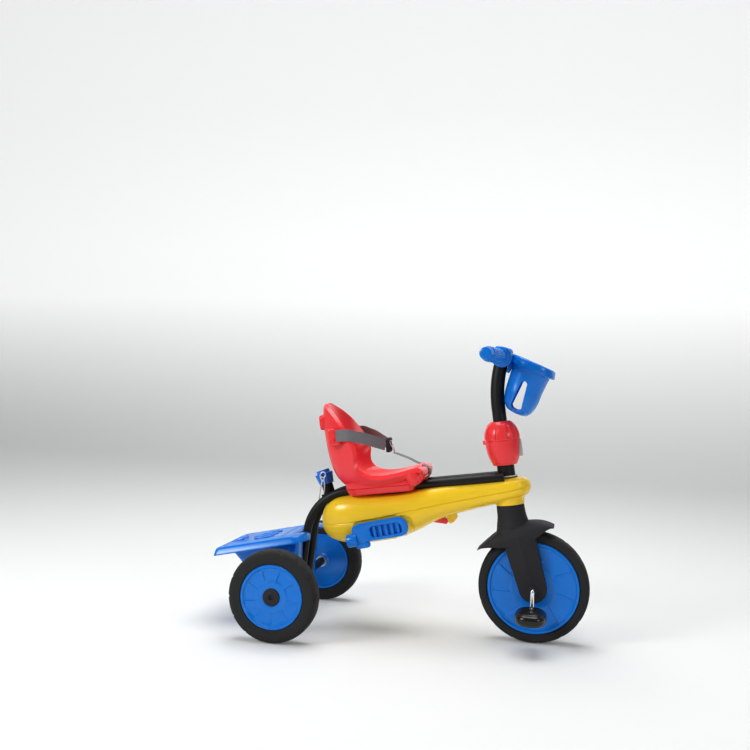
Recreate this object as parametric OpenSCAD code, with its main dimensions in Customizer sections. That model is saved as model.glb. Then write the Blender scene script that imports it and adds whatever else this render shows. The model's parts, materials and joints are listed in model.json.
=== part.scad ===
// Children's tricycle with a bin behind the seat and a bucket on the handlebar.
// X runs forward, Y to the rider's left and Z up; the floor is Z = 0 and the
// origin lies under the middle of the whole length.

/* [Overall] */
// Distance from the rear axle to the front axle
wheel_base = 555; // [540:5:680]
// Width over the outer faces of the rear tyres
track_w = 471; // [440:1:580]
// Backward lean of the steering axis, degrees
steer_lean = 8.5; // [6:0.5:11]
// Distance of the front axle ahead of the steering axis
fork_rake = 30; // [25:1:36]
// Height of the beams' crossing point above the front axle, along the axis
head_rise = 250; // [245:1:300]

/* [Wheels] */
// Front wheel diameter
front_wheel_d = 250; // [205:1:258]
// Front tyre width
front_tyre_w = 52; // [42:1:54]
// Diameter of the front wheel's disc
front_disc_d = 206; // [160:1:212]
// Rear wheel diameter
rear_wheel_d = 203; // [180:1:210]
// Rear tyre width
rear_tyre_w = 45.5; // [38:0.5:55]
// Diameter of the rear wheels' discs
rear_disc_d = 142; // [120:1:170]
// Diameter of the rear axle rod
axle_d = 12; // [10:1:14]
// Outside diameter of the axle tube
axle_tube_d = 20; // [18:1:22]
// Hub cap diameter
hub_cap_d = 39; // [34:1:46]

/* [Frame] */
// Outside diameter of the two frame tubes
tube_d = 20; // [16:1:22]
// Wall of the frame tubes
tube_wall = 1.8; // [1.2:0.2:2.6]
// Distance between the frame tubes, centre to centre
tube_gap = 64; // [60:1:74]
// Bend radius of the frame tubes behind the seat
bend_r = 114; // [95:1:120]
// Steering tube diameter
steer_d = 40; // [34:1:40]
// Handlebar stem diameter
stem_d = 32; // [26:1:32]

/* [Body] */
// Half width of the body beside the seat
body_half_w = 66; // [60:1:76]
// Wall of the body shells
body_wall = 3; // [2.4:0.2:4]
// Half width of the neck in front of the seat
neck_half_w = 45; // [44:1:54]

/* [Seat] */
// Half width of the seat
seat_half_w = 84; // [74:1:92]
// Height of the seat back above the beams
seat_top = 212; // [180:1:250]
// Width of the belt webbing
belt_w = 27; // [22:1:30]

/* [Bin] */
// Half width of the bin
bin_half_w = 92; // [80:1:110]
// How far the lid reaches behind the rear axle
lid_back = 187; // [160:1:220]
// Half width of the lid
lid_half_w = 113; // [100:1:126]
// Height of the bin's floor above the ground
bin_floor_z = 124; // [118:1:130]

/* [Steering] */
// Half length of the handlebar
bar_half_l = 200; // [170:1:230]
// Throw of the cranks
crank_l = 45; // [38:1:54]
// Width of a pedal, front to back
pedal_w = 69; // [56:1:80]
// Length of a pedal, along its axle
pedal_l = 92; // [76:1:108]
// Depth of the bucket
bucket_h = 125; // [104:1:140]
// Push-handle socket bore diameter
socket_d = 22.4; // [18:0.2:23]

/* [Fits] */
// Radial clearance of a running fit
run = 0.06; // [0.02:0.01:0.1]
// Gap between pieces that only pass each other
gap = 0.5; // [0.4:0.1:1]

/* [Hidden] */

$fn = 64;
right = -1;
left = 1;
eps = 0.01;

front_r = front_wheel_d / 2;
rear_r = rear_wheel_d / 2;
tube_r = tube_d / 2;
tube_y = tube_gap / 2;
steer_r = steer_d / 2;
stem_r = stem_d / 2;
axle_r = axle_d / 2;
axle_tube_r = axle_tube_d / 2;
front_disc_r = front_disc_d / 2;
rear_disc_r = rear_disc_d / 2;
hub_cap_r = hub_cap_d / 2;
rear_mid_y = track_w / 2 - rear_tyre_w / 2;
rear_in_y = track_w / 2 - rear_tyre_w;

// The head point, where the steering axis crosses the line of the beams
head_x = wheel_base - fork_rake * cos(steer_lean) - head_rise * sin(steer_lean);
head_z = front_r - fork_rake * sin(steer_lean) + head_rise * cos(steer_lean);
origin_x = (lid_back - wheel_base - front_r) / 2;

// Beam line: its height over the head point, and the leg that runs to the axle
beam_z = 5;
beam_front = -4;
leg_ahead = 9;
leg_lean = 6;
leg_angle = leg_lean + steer_lean;
foot = to_head([leg_ahead, rear_r]);
corner_x = foot.x + (beam_z - foot.y) * tan(leg_angle);
turn = 90 - leg_angle;
bend_run = bend_r * tan(turn / 2);
bend_x = corner_x + bend_run;
leg_len = (beam_z - foot.y) / cos(leg_angle) - bend_run;

// Head tube and its bushes
bush_r = steer_r + 2;
head_tube_r = bush_r + 2.5;
head_top = 4;
head_bottom = -54;
bush_flange_t = 2;
bush_l = 14;

// Coordinates of a point of the side view, seen in the leaning frame of the head
function to_head(p) = let (d = p - [head_x, head_z])
    [d.x * cos(steer_lean) + d.y * sin(steer_lean),
     -d.x * sin(steer_lean) + d.y * cos(steer_lean)];

// Frames: the rear axle's ground point, and the leaning head frame
module ground() translate([origin_x, 0, 0]) children();
module head() ground() translate([head_x, 0, head_z]) rotate([0, -steer_lean, 0]) children();
module rear_hub() ground() translate([0, 0, rear_r]) children();
module front_hub() ground() translate([wheel_base, 0, front_r]) children();

// A cylinder along Y from y0 to y1
module across(r, y0, y1) translate([0, min(y0, y1), 0]) rotate([-90, 0, 0])
    cylinder(r = r, h = abs(y1 - y0));

// A turned part about the Y axis; the profile's points are [radius, y]
module turned(profile) rotate([-90, 0, 0]) rotate_extrude($fn = 96) polygon(profile);

// A point of a superellipse with the power n
function pow_cos(a, n) = sign(cos(a)) * pow(abs(cos(a)), 2 / n);
function pow_sin(a, n) = sign(sin(a)) * pow(abs(sin(a)), 2 / n);

function middle(ring) = [for (k = [0:2]) [for (p = ring) p[k]] * [for (p = ring) 1] / len(ring)];

// The triangles between neighbouring rings of n points, for m rings
function skin_sides(m, n) = [for (i = [0:m - 2], j = [0:n - 1]) let (k = (j + 1) % n)
    each [[i * n + j, (i + 1) * n + j, (i + 1) * n + k],
          [i * n + j, (i + 1) * n + k, i * n + k]]];

// A closed skin through rings of equal count; each ring runs anticlockwise
// when it is seen from the last ring
module skin(rings) {
    n = len(rings[0]);
    m = len(rings);
    points = concat([for (r = rings) each r], [middle(rings[0]), middle(rings[m - 1])]);
    first = [for (j = [0:n - 1]) [m * n, j, (j + 1) % n]];
    last = [for (j = [0:n - 1]) [m * n + 1, (m - 1) * n + (j + 1) % n, (m - 1) * n + j]];
    polyhedron(points, concat(skin_sides(m, n), first, last), convexity = 6);
}

// The same for arched rings, an outer arc and its inner arc back: each end is
// closed by a strip between the two arcs
module arch_skin(rings) {
    n = len(rings[0]);
    m = len(rings);
    base = (m - 1) * n;
    first = [for (j = [0:n / 2 - 2]) each [[j, j + 1, n - 2 - j], [j, n - 2 - j, n - 1 - j]]];
    last = [for (j = [0:n / 2 - 2]) each [[base + j, base + n - 2 - j, base + j + 1],
        [base + j, base + n - 1 - j, base + n - 2 - j]]];
    polyhedron([for (r = rings) each r], concat(skin_sides(m, n), first, last), convexity = 6);
}

// ---------- frame ----------

// One frame tube's path as a rod of radius r: a beam, a bend and a leg. The straight
// lengths run a little into the bend, which is a hair thicker so that it holds them
bend_over = 2;
bend_swell = 0.05;

module tube_rod(r) {
    translate([bend_x - bend_over, 0, beam_z]) rotate([0, 90, 0])
        cylinder(r = r, h = beam_front - bend_x + bend_over);
    translate([bend_x, 0, beam_z - bend_r]) rotate([90, 0, 0]) rotate([0, 0, 90])
        rotate_extrude(angle = turn) translate([bend_r, 0]) circle(r = r + bend_swell);
    translate([foot.x, 0, foot.y]) rotate([0, leg_angle, 0]) cylinder(r = r, h = leg_len + bend_over);
}

module frame_tube(side) color("black") difference() {
    head() translate([0, side * tube_y, 0]) difference() {
        tube_rod(tube_r);
        tube_rod(tube_r - tube_wall);
    }
    head() translate([0, 0, head_bottom]) cylinder(r = head_tube_r, h = head_top - head_bottom + 20);
    rear_hub() across(axle_tube_r, -track_w, track_w);
}

module head_tube() color("dimgray") head() translate([0, 0, head_bottom]) difference() {
    cylinder(r = head_tube_r, h = head_top - head_bottom);
    translate([0, 0, -1]) cylinder(r = bush_r, h = head_top - head_bottom + 2);
}

module head_bush() difference() {
    union() {
        cylinder(r = bush_r, h = bush_l);
        translate([0, 0, -bush_flange_t]) cylinder(r = head_tube_r, h = bush_flange_t);
    }
    translate([0, 0, -bush_flange_t - 1]) cylinder(r = steer_r + run, h = bush_l + 4);
}

module head_bushes() color("white") head() {
    translate([0, 0, head_bottom]) head_bush();
    translate([0, 0, head_top]) mirror([0, 0, 1]) head_bush();
}

// ---------- rear axle ----------

spacer_t = 1.2;
axle_tube_half = rear_in_y - spacer_t - gap;
nut_in = rear_in_y + 29;
nut_t = 6;
washer_t = 1.5;
axle_half = nut_in + washer_t + nut_t + 1;

module axle_tube() color("black") rear_hub() difference() {
    across(axle_tube_r, -axle_tube_half, axle_tube_half);
    across(axle_r, -track_w, track_w);
}

module rear_axle() color("silver") rear_hub() across(axle_r, -axle_half, axle_half);

module ring_y(outer, inner, y0, y1) difference() {
    across(outer, y0, y1);
    across(inner, y0 - 1, y1 + 1);
}

module axle_nuts() color("silver") rear_hub() for (s = [right, left]) mirror([0, s < 0 ? 1 : 0, 0]) {
    ring_y(14, axle_r, axle_tube_half, axle_tube_half + spacer_t);
    ring_y(11, axle_r, nut_in, nut_in + washer_t);
    difference() {
        translate([0, nut_in + washer_t, 0]) rotate([-90, 0, 0]) cylinder(r = 10, h = nut_t, $fn = 6);
        across(axle_r, 0, track_w);
    }
}

// ---------- body shells ----------

// Stations of the body, along the head frame's X: share of the way from the
// neck to the bend, then floor, parting line and top heights and half width
rear_stations = [
    [-75, -78, -66, -58, 0.42], [-70, -92, -66, -40, 0.58], [-58, -105, -66, -22, 0.76],
    [-40, -113, -66, -9, 0.88], [-15, -119, -65.5, -3, 0.96], [20, -120, -62, -4, 1],
    [75, -118, -57, -9, 1], [135, -108, -50, -9, 1], [180, -92, -45, -5, 0.93]];
neck_stations = [[-150, -76, -41, 0, 1.14], [-110, -69, -37, 1, 1.04], [-60, -61, -32, 1, 1],
    [-20, -58, -28, 2, 1], [10, -58, -26, 2, 0.98], [30, -57, -23, 1, 0.84],
    [43, -41, -20, -2, 0.6], [50, -34, -19, -7, 0.34]];
stations = concat(
    [for (s = rear_stations) [bend_x + s[0], s[1], s[2], s[3], s[4] * body_half_w]],
    [for (s = neck_stations) [s[0], s[1], s[2], s[3], s[4] * neck_half_w]]);
shell_steps = 12;
shell_power = 2.7;
crown_wall = 9.5;

// The ring of one half shell: its outer arc, then its inner arc back
function half_ring(s, up) = let (
        outer_h = up ? s[3] - s[2] : s[1] - s[2],
        wall_z = up ? min(crown_wall, outer_h * 0.6) : max(-body_wall, outer_h * 0.6),
        inner_w = max(s[4] - body_wall, s[4] * 0.5),
        turn_way = up ? 1 : -1)
    concat(
        [for (i = [0:shell_steps]) let (a = 180 * i / shell_steps)
            [s[0], turn_way * s[4] * pow_cos(a, shell_power),
             s[2] + outer_h * pow_sin(a, shell_power)]],
        [for (i = [0:shell_steps]) let (a = 180 - 180 * i / shell_steps)
            [s[0], turn_way * inner_w * pow_cos(a, shell_power),
             s[2] + (outer_h - wall_z) * pow_sin(a, shell_power)]]);

module shell_cuts() {
    for (s = [right, left]) translate([0, s * tube_y, 0]) tube_rod(tube_r + gap);
    translate([0, 0, -90]) cylinder(r = head_tube_r + gap, h = 120);
    translate([bend_x - 65 - gap, -tube_y, -16 - gap]) cube([34 + 2 * gap, 2 * tube_y, 60]);
}

lever_x = bend_x + 180;
lever_z = -78;
lever_half_w = 11;
pin_r = 3;
foot_x = bend_x;
foot_l = 138;
foot_y = body_half_w + 9;
foot_z = -112;
foot_barrel_r = 8;
foot_bar_t = 8;
foot_bar_h = 10;
foot_bar_x = [26, 106];
foot_tilt = 5;

// The line of the footrests' hinges
module foot_line(side) translate([foot_x, side * foot_y, foot_z]) rotate([0, -foot_tilt, 0]) children();

module body_upper() color("gold") head() difference() {
    arch_skin([for (s = stations) half_ring(s, true)]);
    shell_cuts();
}

// The two bars that cross the lower shell and hold the footrests, grown by g
module bar_blocks(g) for (x = foot_bar_x) foot_line(0)
    translate([x - g, -foot_y - foot_bar_h / 2 - g, -foot_bar_h / 2 - g])
        cube([foot_bar_t + 2 * g, 2 * foot_y + foot_bar_h + 2 * g, foot_bar_h + 2 * g]);

module body_lower() color("gold") head() difference() {
    arch_skin([for (s = stations) half_ring(s, false)]);
    translate([0, 0, -90]) cylinder(r = head_tube_r + gap, h = 100);
    translate([lever_x - 8, -lever_half_w - 1, -112]) cube([66, 2 * lever_half_w + 2, 60]);
    bar_blocks(0.3);
}

module footrest_bars() color("gold") head() difference() {
    bar_blocks(0);
    for (s = [right, left]) foot_line(s) translate([-1, 0, 0]) rotate([0, 90, 0])
        cylinder(r = pin_r, h = foot_l + 2);
}

// ---------- seat ----------

// Stations along the middle of the seat, from its front edge to the top of the
// back: place of the pan, direction towards the rider, half width, height of
// the side wings and thickness
seat_path = [
    [bend_x + 197, 34, 40, 0.55, 0, 10], [bend_x + 190, 44, 62, 0.8, 1, 18],
    [bend_x + 165, 40, 85, 0.93, 4, 22], [bend_x + 125, 31, 92, 0.98, 8, 15],
    [bend_x + 85, 27, 92, 1, 12, 10.5], [bend_x + 45, 32, 75, 1, 18, 15],
    [bend_x + 12, 52, 45, 1, 30, 24], [bend_x - 12, 84, 18, 1, 44, 24],
    [bend_x - 22, 120, 8, 0.98, 54, 23], [bend_x - 27, 155, 4, 0.92, 50, 22],
    [bend_x - 29, seat_top - 27, 2, 0.78, 36, 20], [bend_x - 31, seat_top - 6, 2, 0.5, 14, 17],
    [bend_x - 34, seat_top + 5, 2, 0.16, 2, 8]];
seat_steps = 14;

// A point of the seat's section: v runs across from -1 to 1, off is the
// distance along the direction towards the rider
function seat_point(s, v, off) = [s[0] + off * cos(s[2]), v * s[3] * seat_half_w,
    s[1] + off * sin(s[2])];

function seat_ring(s) = concat(
    [for (i = [0:seat_steps]) let (v = 1 - 2 * i / seat_steps)
        seat_point(s, v * 0.94, s[4] * pow(abs(v), 3))],
    [for (i = [0:seat_steps]) let (v = 2 * i / seat_steps - 1)
        seat_point(s, v, -s[5] + (s[4] + s[5] - 4) * pow(abs(v), 5))]);

seat_base_top = 16.4;
base_x0 = bend_x + 4;
base_x1 = bend_x + 166;
base_half_w = body_half_w + 6;

module seat_shell() color("red") head() difference() {
    skin([for (s = seat_path) seat_ring(s)]);
    translate([bend_x - 60, -100, seat_base_top - 60]) cube([300, 200, 60]);
}

module seat_base() color("red") head() difference() {
    translate([base_x0, -base_half_w, -9]) cube([base_x1 - base_x0, 2 * base_half_w, seat_base_top + 9]);
    translate([base_x0 - 1, -body_half_w - 1, -10]) cube([base_x1 - base_x0 + 2, 2 * body_half_w + 2, 11.5]);
    for (s = [right, left]) translate([base_x0 - 1, s * tube_y, beam_z]) rotate([0, 90, 0])
        cylinder(r = tube_r, h = base_x1 - base_x0 + 2);
    for (x = [base_x0, base_x1], m = [0, 1]) mirror([0, m, 0])
        translate([x, base_half_w, 0]) rotate([0, 0, 45]) cube([14, 14, 60], center = true);
}

anchor_x = bend_x - 8;
anchor_z = 139;
anchor_y = seat_half_w + 1;

module belt_anchors() color("red") head() for (s = [right, left])
    translate([anchor_x, s * anchor_y, anchor_z]) rotate([0, -8, 0]) difference() {
        translate([-11, -3.5, -20]) cube([24, 7, 40]);
        across(screw_r, -9, 9);
    }

screw_r = 2.2;

module belt_screws() color("silver") head() for (s = [right, left])
    translate([anchor_x, s * anchor_y, anchor_z]) {
        across(screw_r, -s * 3.5, s * 3.5);
        across(4.5, s * 3.5, s * 5.5);
    }

strap_t = 1.8;
strap_path = [[8, 0, 2], [38, -1, 1], [68, -22, -7], [88, -44, -19], [104, -66, -34]];

// The shoulder end is on the anchor, the other end in the buckle
function strap_ring(p, q, side) = let (dir = [q.x - p.x, q.y - p.y] / norm([q.x - p.x, q.y - p.y]),
        flat = [-dir.y, dir.x] * strap_t / 2, h = belt_w / 2)
    [for (c = [[-1, -h], [1, -h], [1, h], [-1, h]])
        [p.x + c[0] * flat.x, p.y + c[0] * flat.y, p.z + c[1]]];

module belt_strap(side) color("dimgray") head() difference() {
    mirror([0, side < 0 ? 1 : 0, 0]) translate([anchor_x + 6, anchor_y, anchor_z])
        skin([for (i = [0:len(strap_path) - 1])
            strap_ring(strap_path[i], i < len(strap_path) - 1 ? strap_path[i + 1]
                : 2 * strap_path[i] - strap_path[i - 1])]);
    buckle_block();
}

buckle_x = anchor_x + 113;
buckle_z = anchor_z - 37;

module buckle_block() translate([buckle_x, 0, buckle_z])
    cube([10, 2 * (anchor_y - 66) + 1, 33], center = true);

module belt_buckle() color("dimgray") head() buckle_block();

crotch_path = [[buckle_x + 5, buckle_z - 12], [bend_x + 150, 70], [bend_x + 183, 54.5],
    [bend_x + 200, 42], [bend_x + 201.5, 28], [bend_x + 190, 18]];

module crotch_strap() color("dimgray") head() {
    n = len(crotch_path);
    skin([for (i = [0:n - 1]) let (p = crotch_path[i],
            d = crotch_path[min(i + 1, n - 1)] - crotch_path[max(i - 1, 0)],
            across_dir = [-d.y, d.x] / norm(d) * strap_t / 2, h = belt_w / 2)
        [for (c = [[-1, h], [-1, -h], [1, -h], [1, h]])
            [p.x + c[0] * across_dir.x, c[1], p.y + c[0] * across_dir.y]]]);
}

// ---------- push-handle socket ----------

socket_r = socket_d / 2;
socket_out_r = socket_r + 2.3;
socket_lean = 12;
socket_x = bend_x - 50;
socket_l = 62;
clip_y = tube_y + tube_r + 3;

module socket_frame() head() translate([socket_x, 0, -12]) rotate([0, -socket_lean, 0]) children();

module socket_tube() color("black") difference() {
    socket_frame() cylinder(r = socket_out_r, h = socket_l);
    socket_frame() translate([0, 0, 4]) cylinder(r = socket_r, h = socket_l);
    socket_frame() translate([0, 0, 48]) across(pin_r, right * 40, 0);
}

module socket_collar() color("blue") difference() {
    socket_frame() translate([0, 0, 36]) cylinder(r1 = 17, r2 = 21.5, h = 24);
    socket_frame() translate([0, 0, 30]) cylinder(r = socket_out_r, h = 40);
    socket_frame() translate([0, 0, 48]) across(pin_r, right * 40, 0);
}

module socket_bracket() color("black") difference() {
    head() translate([socket_x - 15, -tube_y, -16]) cube([34, 2 * tube_y, 18]);
    socket_frame() translate([0, 0, -20]) cylinder(r = socket_out_r, h = 80);
    head() for (s = [right, left]) translate([0, s * tube_y, 0]) tube_rod(tube_r);
}

module locking_clip() color("silver") socket_frame() translate([0, 0, 48]) {
    across(pin_r, right * (clip_y + 2), right * (socket_r + 0.4));
    translate([0, right * clip_y, 0]) rotate([0, socket_lean, 0]) {
        translate([0, 0, -18]) cylinder(r = 1.4, h = 18, $fn = 16);
        translate([0, 0, -26]) rotate([90, 0, 0]) rotate_extrude() translate([8, 0]) circle(r = 1.4, $fn = 16);
        translate([0, 0, -52]) cylinder(r = 1.4, h = 18, $fn = 16);
    }
}

// ---------- bin ----------

lid_slope = 12.5;
lid_rise = 94.5;
bin_wall = 3;
bin_front = 17;
notch_half = tube_y + tube_r + 6;
notch_x = -6;
bin_back = 40 - lid_back;
bin_mouth_z = lid_rise + rear_r - 4;
lug_x = [-24, 13];
hinge_y = 68;
hinge_x = 13;

// The lid's frame: its X runs up the slope
module lid_frame() rear_hub() translate([0, 0, lid_rise]) rotate([0, -lid_slope, 0]) children();

// Side outline of the bin, drawn inwards by g
module bin_side(g) {
    floor_y = bin_floor_z - rear_r + g;
    mouth = 60;
    polygon([[bin_back + g, mouth + g * 2], [bin_back + g + 34, floor_y], [bin_front - g, floor_y],
        [bin_front - g, 120], [bin_back + g, 120]]);
}

module bin_block(g) intersection() {
    rotate([90, 0, 0]) translate([0, 0, -bin_half_w + g])
        linear_extrude(2 * (bin_half_w - g)) bin_side(g);
    translate([0, 0, -20]) linear_extrude(200) difference() {
        translate([bin_back - 1, -bin_half_w]) square([bin_front - bin_back + 2, 2 * bin_half_w]);
        translate([notch_x - g, -notch_half - g]) square([60, 2 * (notch_half + g)]);
    }
}

module bin_tub() color("blue") difference() {
    union() {
        rear_hub() difference() {
            bin_block(0);
            difference() {
                bin_block(bin_wall);
                translate([-200, -120, bin_floor_z - rear_r - 20]) cube([400, 240, 20 + bin_wall]);
            }
        }
        rear_hub() for (s = [right, left]) translate([lug_x[0], s * 73 - 2.5, -20])
            cube([lug_x[1] - lug_x[0], 5, bin_floor_z - rear_r + 20.5]);
        lid_frame() for (s = [right, left]) translate([hinge_x - 5, s * hinge_y - 5, -10])
            cube([10, 10, 14]);
    }
    rear_hub() across(axle_tube_r, -track_w, track_w);
    lid_frame() translate([hinge_x, 0, 0]) across(pin_r, -track_w, track_w);
    lid_frame() translate([-300, -200, -0.5]) cube([300 + hinge_x - 5.5, 400, 200]);
    lid_frame() translate([-300, -200, 4.5]) cube([600, 400, 200]);
    lid_frame() for (s = [right, left]) translate([hinge_x - 9, s * (ear_y + ear_t / 2) - ear_t / 2 - gap, -9])
        cube([30, ear_t + 2 * gap, 30]);
}

module lid_hinge_pins() color("silver") lid_frame() translate([hinge_x, 0, 0])
    for (s = [right, left]) across(pin_r, s * (hinge_y - 6), s * (hinge_y + 16));

lid_h = 17;
lid_step = 6;
lid_wall = 3;
lid_tip = 43;
lid_notch_h = 10;
lid_local_back = -lid_back / cos(lid_slope);
ear_y = hinge_y + 6.5;
ear_t = 6;

// The lid's outline, drawn inwards by g
module lid_outline(g) {
    x0 = lid_local_back + g;
    w = lid_half_w - g;
    n = notch_half + g * 0.3;
    x2 = lid_tip - g * 0.5;
    x1 = notch_x - 2;
    polygon([[x0 + 12, -w], [x2 - 24, -w], [x2, -w + 26], [x2 - 8, -n - 4], [x1 + 6, -n],
        [x1, -n + 6], [x1, n - 6], [x1 + 6, n], [x2 - 8, n + 4], [x2, w - 26],
        [x2 - 24, w], [x0 + 12, w], [x0, w - 16], [x0, -w + 16]]);
}

// The skirt stops short round the notch, so that it clears the bin's front
module bin_lid() color("dodgerblue") lid_frame() difference() {
    union() {
        difference() {
            union() {
                linear_extrude(lid_step) lid_outline(0);
                linear_extrude(lid_h) lid_outline(lid_step);
            }
            translate([0, 0, -1]) linear_extrude(lid_h - lid_wall + 1) lid_outline(lid_step + lid_wall);
            translate([notch_x - 6, -notch_half - 12, -1])
                cube([lid_tip - notch_x - 2, 2 * notch_half + 24, lid_notch_h + 1]);
        }
        for (s = [right, left]) translate([hinge_x - 5, s * (ear_y + ear_t / 2) - ear_t / 2, -5])
            cube([10, ear_t, lid_h + 4]);
    }
    translate([hinge_x, 0, 0]) across(pin_r + run, -ear_y - ear_t - 1, ear_y + ear_t + 1);
}

module lid_latch() color("blue") lid_frame() translate([lid_local_back + lid_step + 10, -19, lid_h])
    difference() {
        cube([24, 38, 5]);
        translate([6, 8, 2.5]) cube([12, 22, 5]);
    }

// ---------- footrests and lever ----------

module footrest(side) color("royalblue") head() foot_line(side) difference() {
    union() {
        for (x = [[0, 24], [foot_l - 22, foot_l]]) translate([x[0], 0, 0]) rotate([0, 90, 0])
            cylinder(r = foot_barrel_r, h = x[1] - x[0]);
        translate([0, side < 0 ? -8 : -6, 0]) cube([24, 14, 40]);
        translate([foot_l - 22, side < 0 ? -8 : -6, 0]) cube([22, 14, 40]);
        translate([0, side < 0 ? -8 : -6, 8]) cube([foot_l, 14, 9]);
        translate([10, side < 0 ? -8 : -6, 40]) cube([foot_l - 14, 14, 9]);
        for (i = [1:4]) translate([40 + 15 * i, side < 0 ? -7 : -4, 16]) cube([8, 11, 26]);
    }
    translate([-1, 0, 0]) rotate([0, 90, 0]) cylinder(r = pin_r + run, h = foot_l + 2);
    translate([24 + eps, -20, -10]) cube([foot_bar_t + 3, 40, 17.5]);
    translate([foot_l - 22 - foot_bar_t - 3, -20, -10]) cube([foot_bar_t + 3 - eps, 40, 17.5]);
}

module hinge_pins() color("silver") head() {
    for (s = [right, left]) foot_line(s) translate([-1, 0, 0]) rotate([0, 90, 0])
        cylinder(r = pin_r, h = foot_l + 2);
    translate([lever_x, 0, lever_z]) across(pin_r, -lever_half_w - 6, lever_half_w + 6);
}

// A pivot barrel with a thumb plate that slopes down in front of it
module release_lever() color("red") head() translate([lever_x, lever_half_w, lever_z])
    rotate([90, 0, 0]) linear_extrude(2 * lever_half_w) difference() {
        union() {
            circle(r = 7);
            rotate(-17) translate([4.5, -4]) square([42, 6]);
        }
        circle(r = pin_r + run);
    }

// ---------- rear wheels ----------

wheel_recess_r = 22;
rear_boss_r = 15;
rear_bush_out = 9;

module rear_wheel(side) rear_hub() translate([0, side * rear_mid_y, 0])
    mirror([0, side < 0 ? 1 : 0, 0]) children();

// A tyre's section: outer radius, half width and the radius of its seat
module tyre(outer, w, seat) turned([[seat, -w * 0.9], [outer - 16, -w], [outer - 6, -w],
    [outer - 1.5, -w * 0.8], [outer, -w * 0.55], [outer, w * 0.55], [outer - 1.5, w * 0.8],
    [outer - 6, w], [outer - 16, w], [seat, w * 0.9]]);

rear_half = rear_tyre_w / 2;
front_half = front_tyre_w / 2;

module rear_tyre(side) color("black") rear_wheel(side) tyre(rear_r, rear_half, rear_disc_r);

// The outer disc holds the rim and the boss, the inner disc closes the back
module rear_disc(side) color("dodgerblue") rear_wheel(side) turned([
    [rear_bush_out, -rear_half + 1], [rear_boss_r, -rear_half + 1], [rear_boss_r, rear_half - 20],
    [wheel_recess_r, rear_half - 20], [wheel_recess_r, rear_half - 6], [rear_disc_r - 3, rear_half - 5],
    [rear_disc_r - 3, -2], [rear_disc_r, -2], [rear_disc_r, rear_half - 1], [rear_disc_r - 4, rear_half - 1],
    [rear_disc_r - 8, rear_half - 2.5], [wheel_recess_r - 3, rear_half - 3],
    [wheel_recess_r - 3, rear_half - 17], [rear_bush_out, rear_half - 17]]);

module rear_inner_disc(side) color("dodgerblue") rear_wheel(side) turned([
    [rear_boss_r, -rear_half + 2], [rear_disc_r, -rear_half + 5], [rear_disc_r, -2],
    [rear_disc_r - 3, -2], [rear_disc_r - 3, -rear_half + 8], [rear_boss_r, -rear_half + 5]]);

module hub_cap(side) color("dimgray") rear_wheel(side) turned([
    [0, rear_half - 0.5], [hub_cap_r - 2, rear_half - 0.5], [hub_cap_r, rear_half - 2.5],
    [wheel_recess_r - 3, rear_half - 3], [wheel_recess_r - 3, rear_half - 7], [wheel_recess_r - 6, rear_half - 7],
    [wheel_recess_r - 6, rear_half - 3.4], [0, rear_half - 3.4]]);

module rear_bush(side) color("white") rear_wheel(side) turned([
    [axle_r + run, -rear_half + 0.5], [rear_bush_out + 2.5, -rear_half + 0.5],
    [rear_bush_out + 2.5, -rear_half + 1], [rear_bush_out, -rear_half + 1],
    [rear_bush_out, rear_half - 17], [axle_r + run, rear_half - 17]]);

// ---------- steering ----------

fork_in_y = front_half + 5;
fork_t = 14;
fork_out_y = fork_in_y + fork_t;
axle_h = [fork_rake, -head_rise];
leg_top_h = [fork_rake - 16, 100 - head_rise];
leg_end_r = 30;
leg_top_r = 35;
fender_in_r = front_r + 7;
fender_t = 8;
fender_a0 = 65;
fender_a1 = 143;
crown_z = axle_h.y + fender_in_r + 3;
collar_z = 31;
collar_split = 88;
collar_top = 132;
crank_r = 5;
fork_bush_r = 8;

module steering_tube() color("black") head() translate([0, 0, crown_z]) difference() {
    cylinder(r = steer_r, h = collar_split + 10 - crown_z);
    translate([0, 0, 4]) cylinder(r = stem_r + 0.05, h = 300);
}

module fork() color("dimgray") head() difference() {
    union() {
        for (s = [right, left]) translate([0, min(s * fork_in_y, s * fork_out_y), 0])
            rotate([-90, 0, 0]) linear_extrude(fork_t) mirror([0, 1]) {
                translate(axle_h) circle(r = leg_end_r);
                translate(leg_top_h) circle(r = leg_top_r);
                polygon([axle_h + leg_end_r * [-0.985, 0.17], leg_top_h + leg_top_r * [-0.985, 0.17],
                    leg_top_h + leg_top_r * [0.98, 0.2], axle_h + leg_end_r * [0.98, 0.2]]);
            }
        translate([axle_h.x, 0, axle_h.y]) rotate([90, 0, 0])
            rotate([0, 0, fender_a0]) rotate_extrude(angle = fender_a1 - fender_a0, $fn = 96)
            translate([fender_in_r, -fork_out_y]) square([fender_t, 2 * fork_out_y]);
        translate([0, 0, crown_z - 4]) cylinder(r = steer_r + 5, h = 46);
    }
    translate([0, 0, crown_z]) cylinder(r = steer_r, h = 60);
    translate([axle_h.x, 0, axle_h.y]) {
        across(fender_in_r, -fork_in_y, fork_in_y);
        across(fork_bush_r, -fork_out_y - 1, fork_out_y + 1);
    }
}

boot_top = head_bottom - bush_flange_t - 4.5;

module fork_boot() color("dimgray") head() difference() {
    translate([0, 0, crown_z - 2]) cylinder(r1 = 40, r2 = 30, h = boot_top - crown_z + 2);
    translate([0, 0, crown_z - 10]) cylinder(r = steer_r + 5, h = 52);
    translate([0, 0, crown_z]) cylinder(r = steer_r, h = 90);
    translate([axle_h.x, 0, axle_h.y]) across(fender_in_r + fender_t, -60, 60);
}

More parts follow.
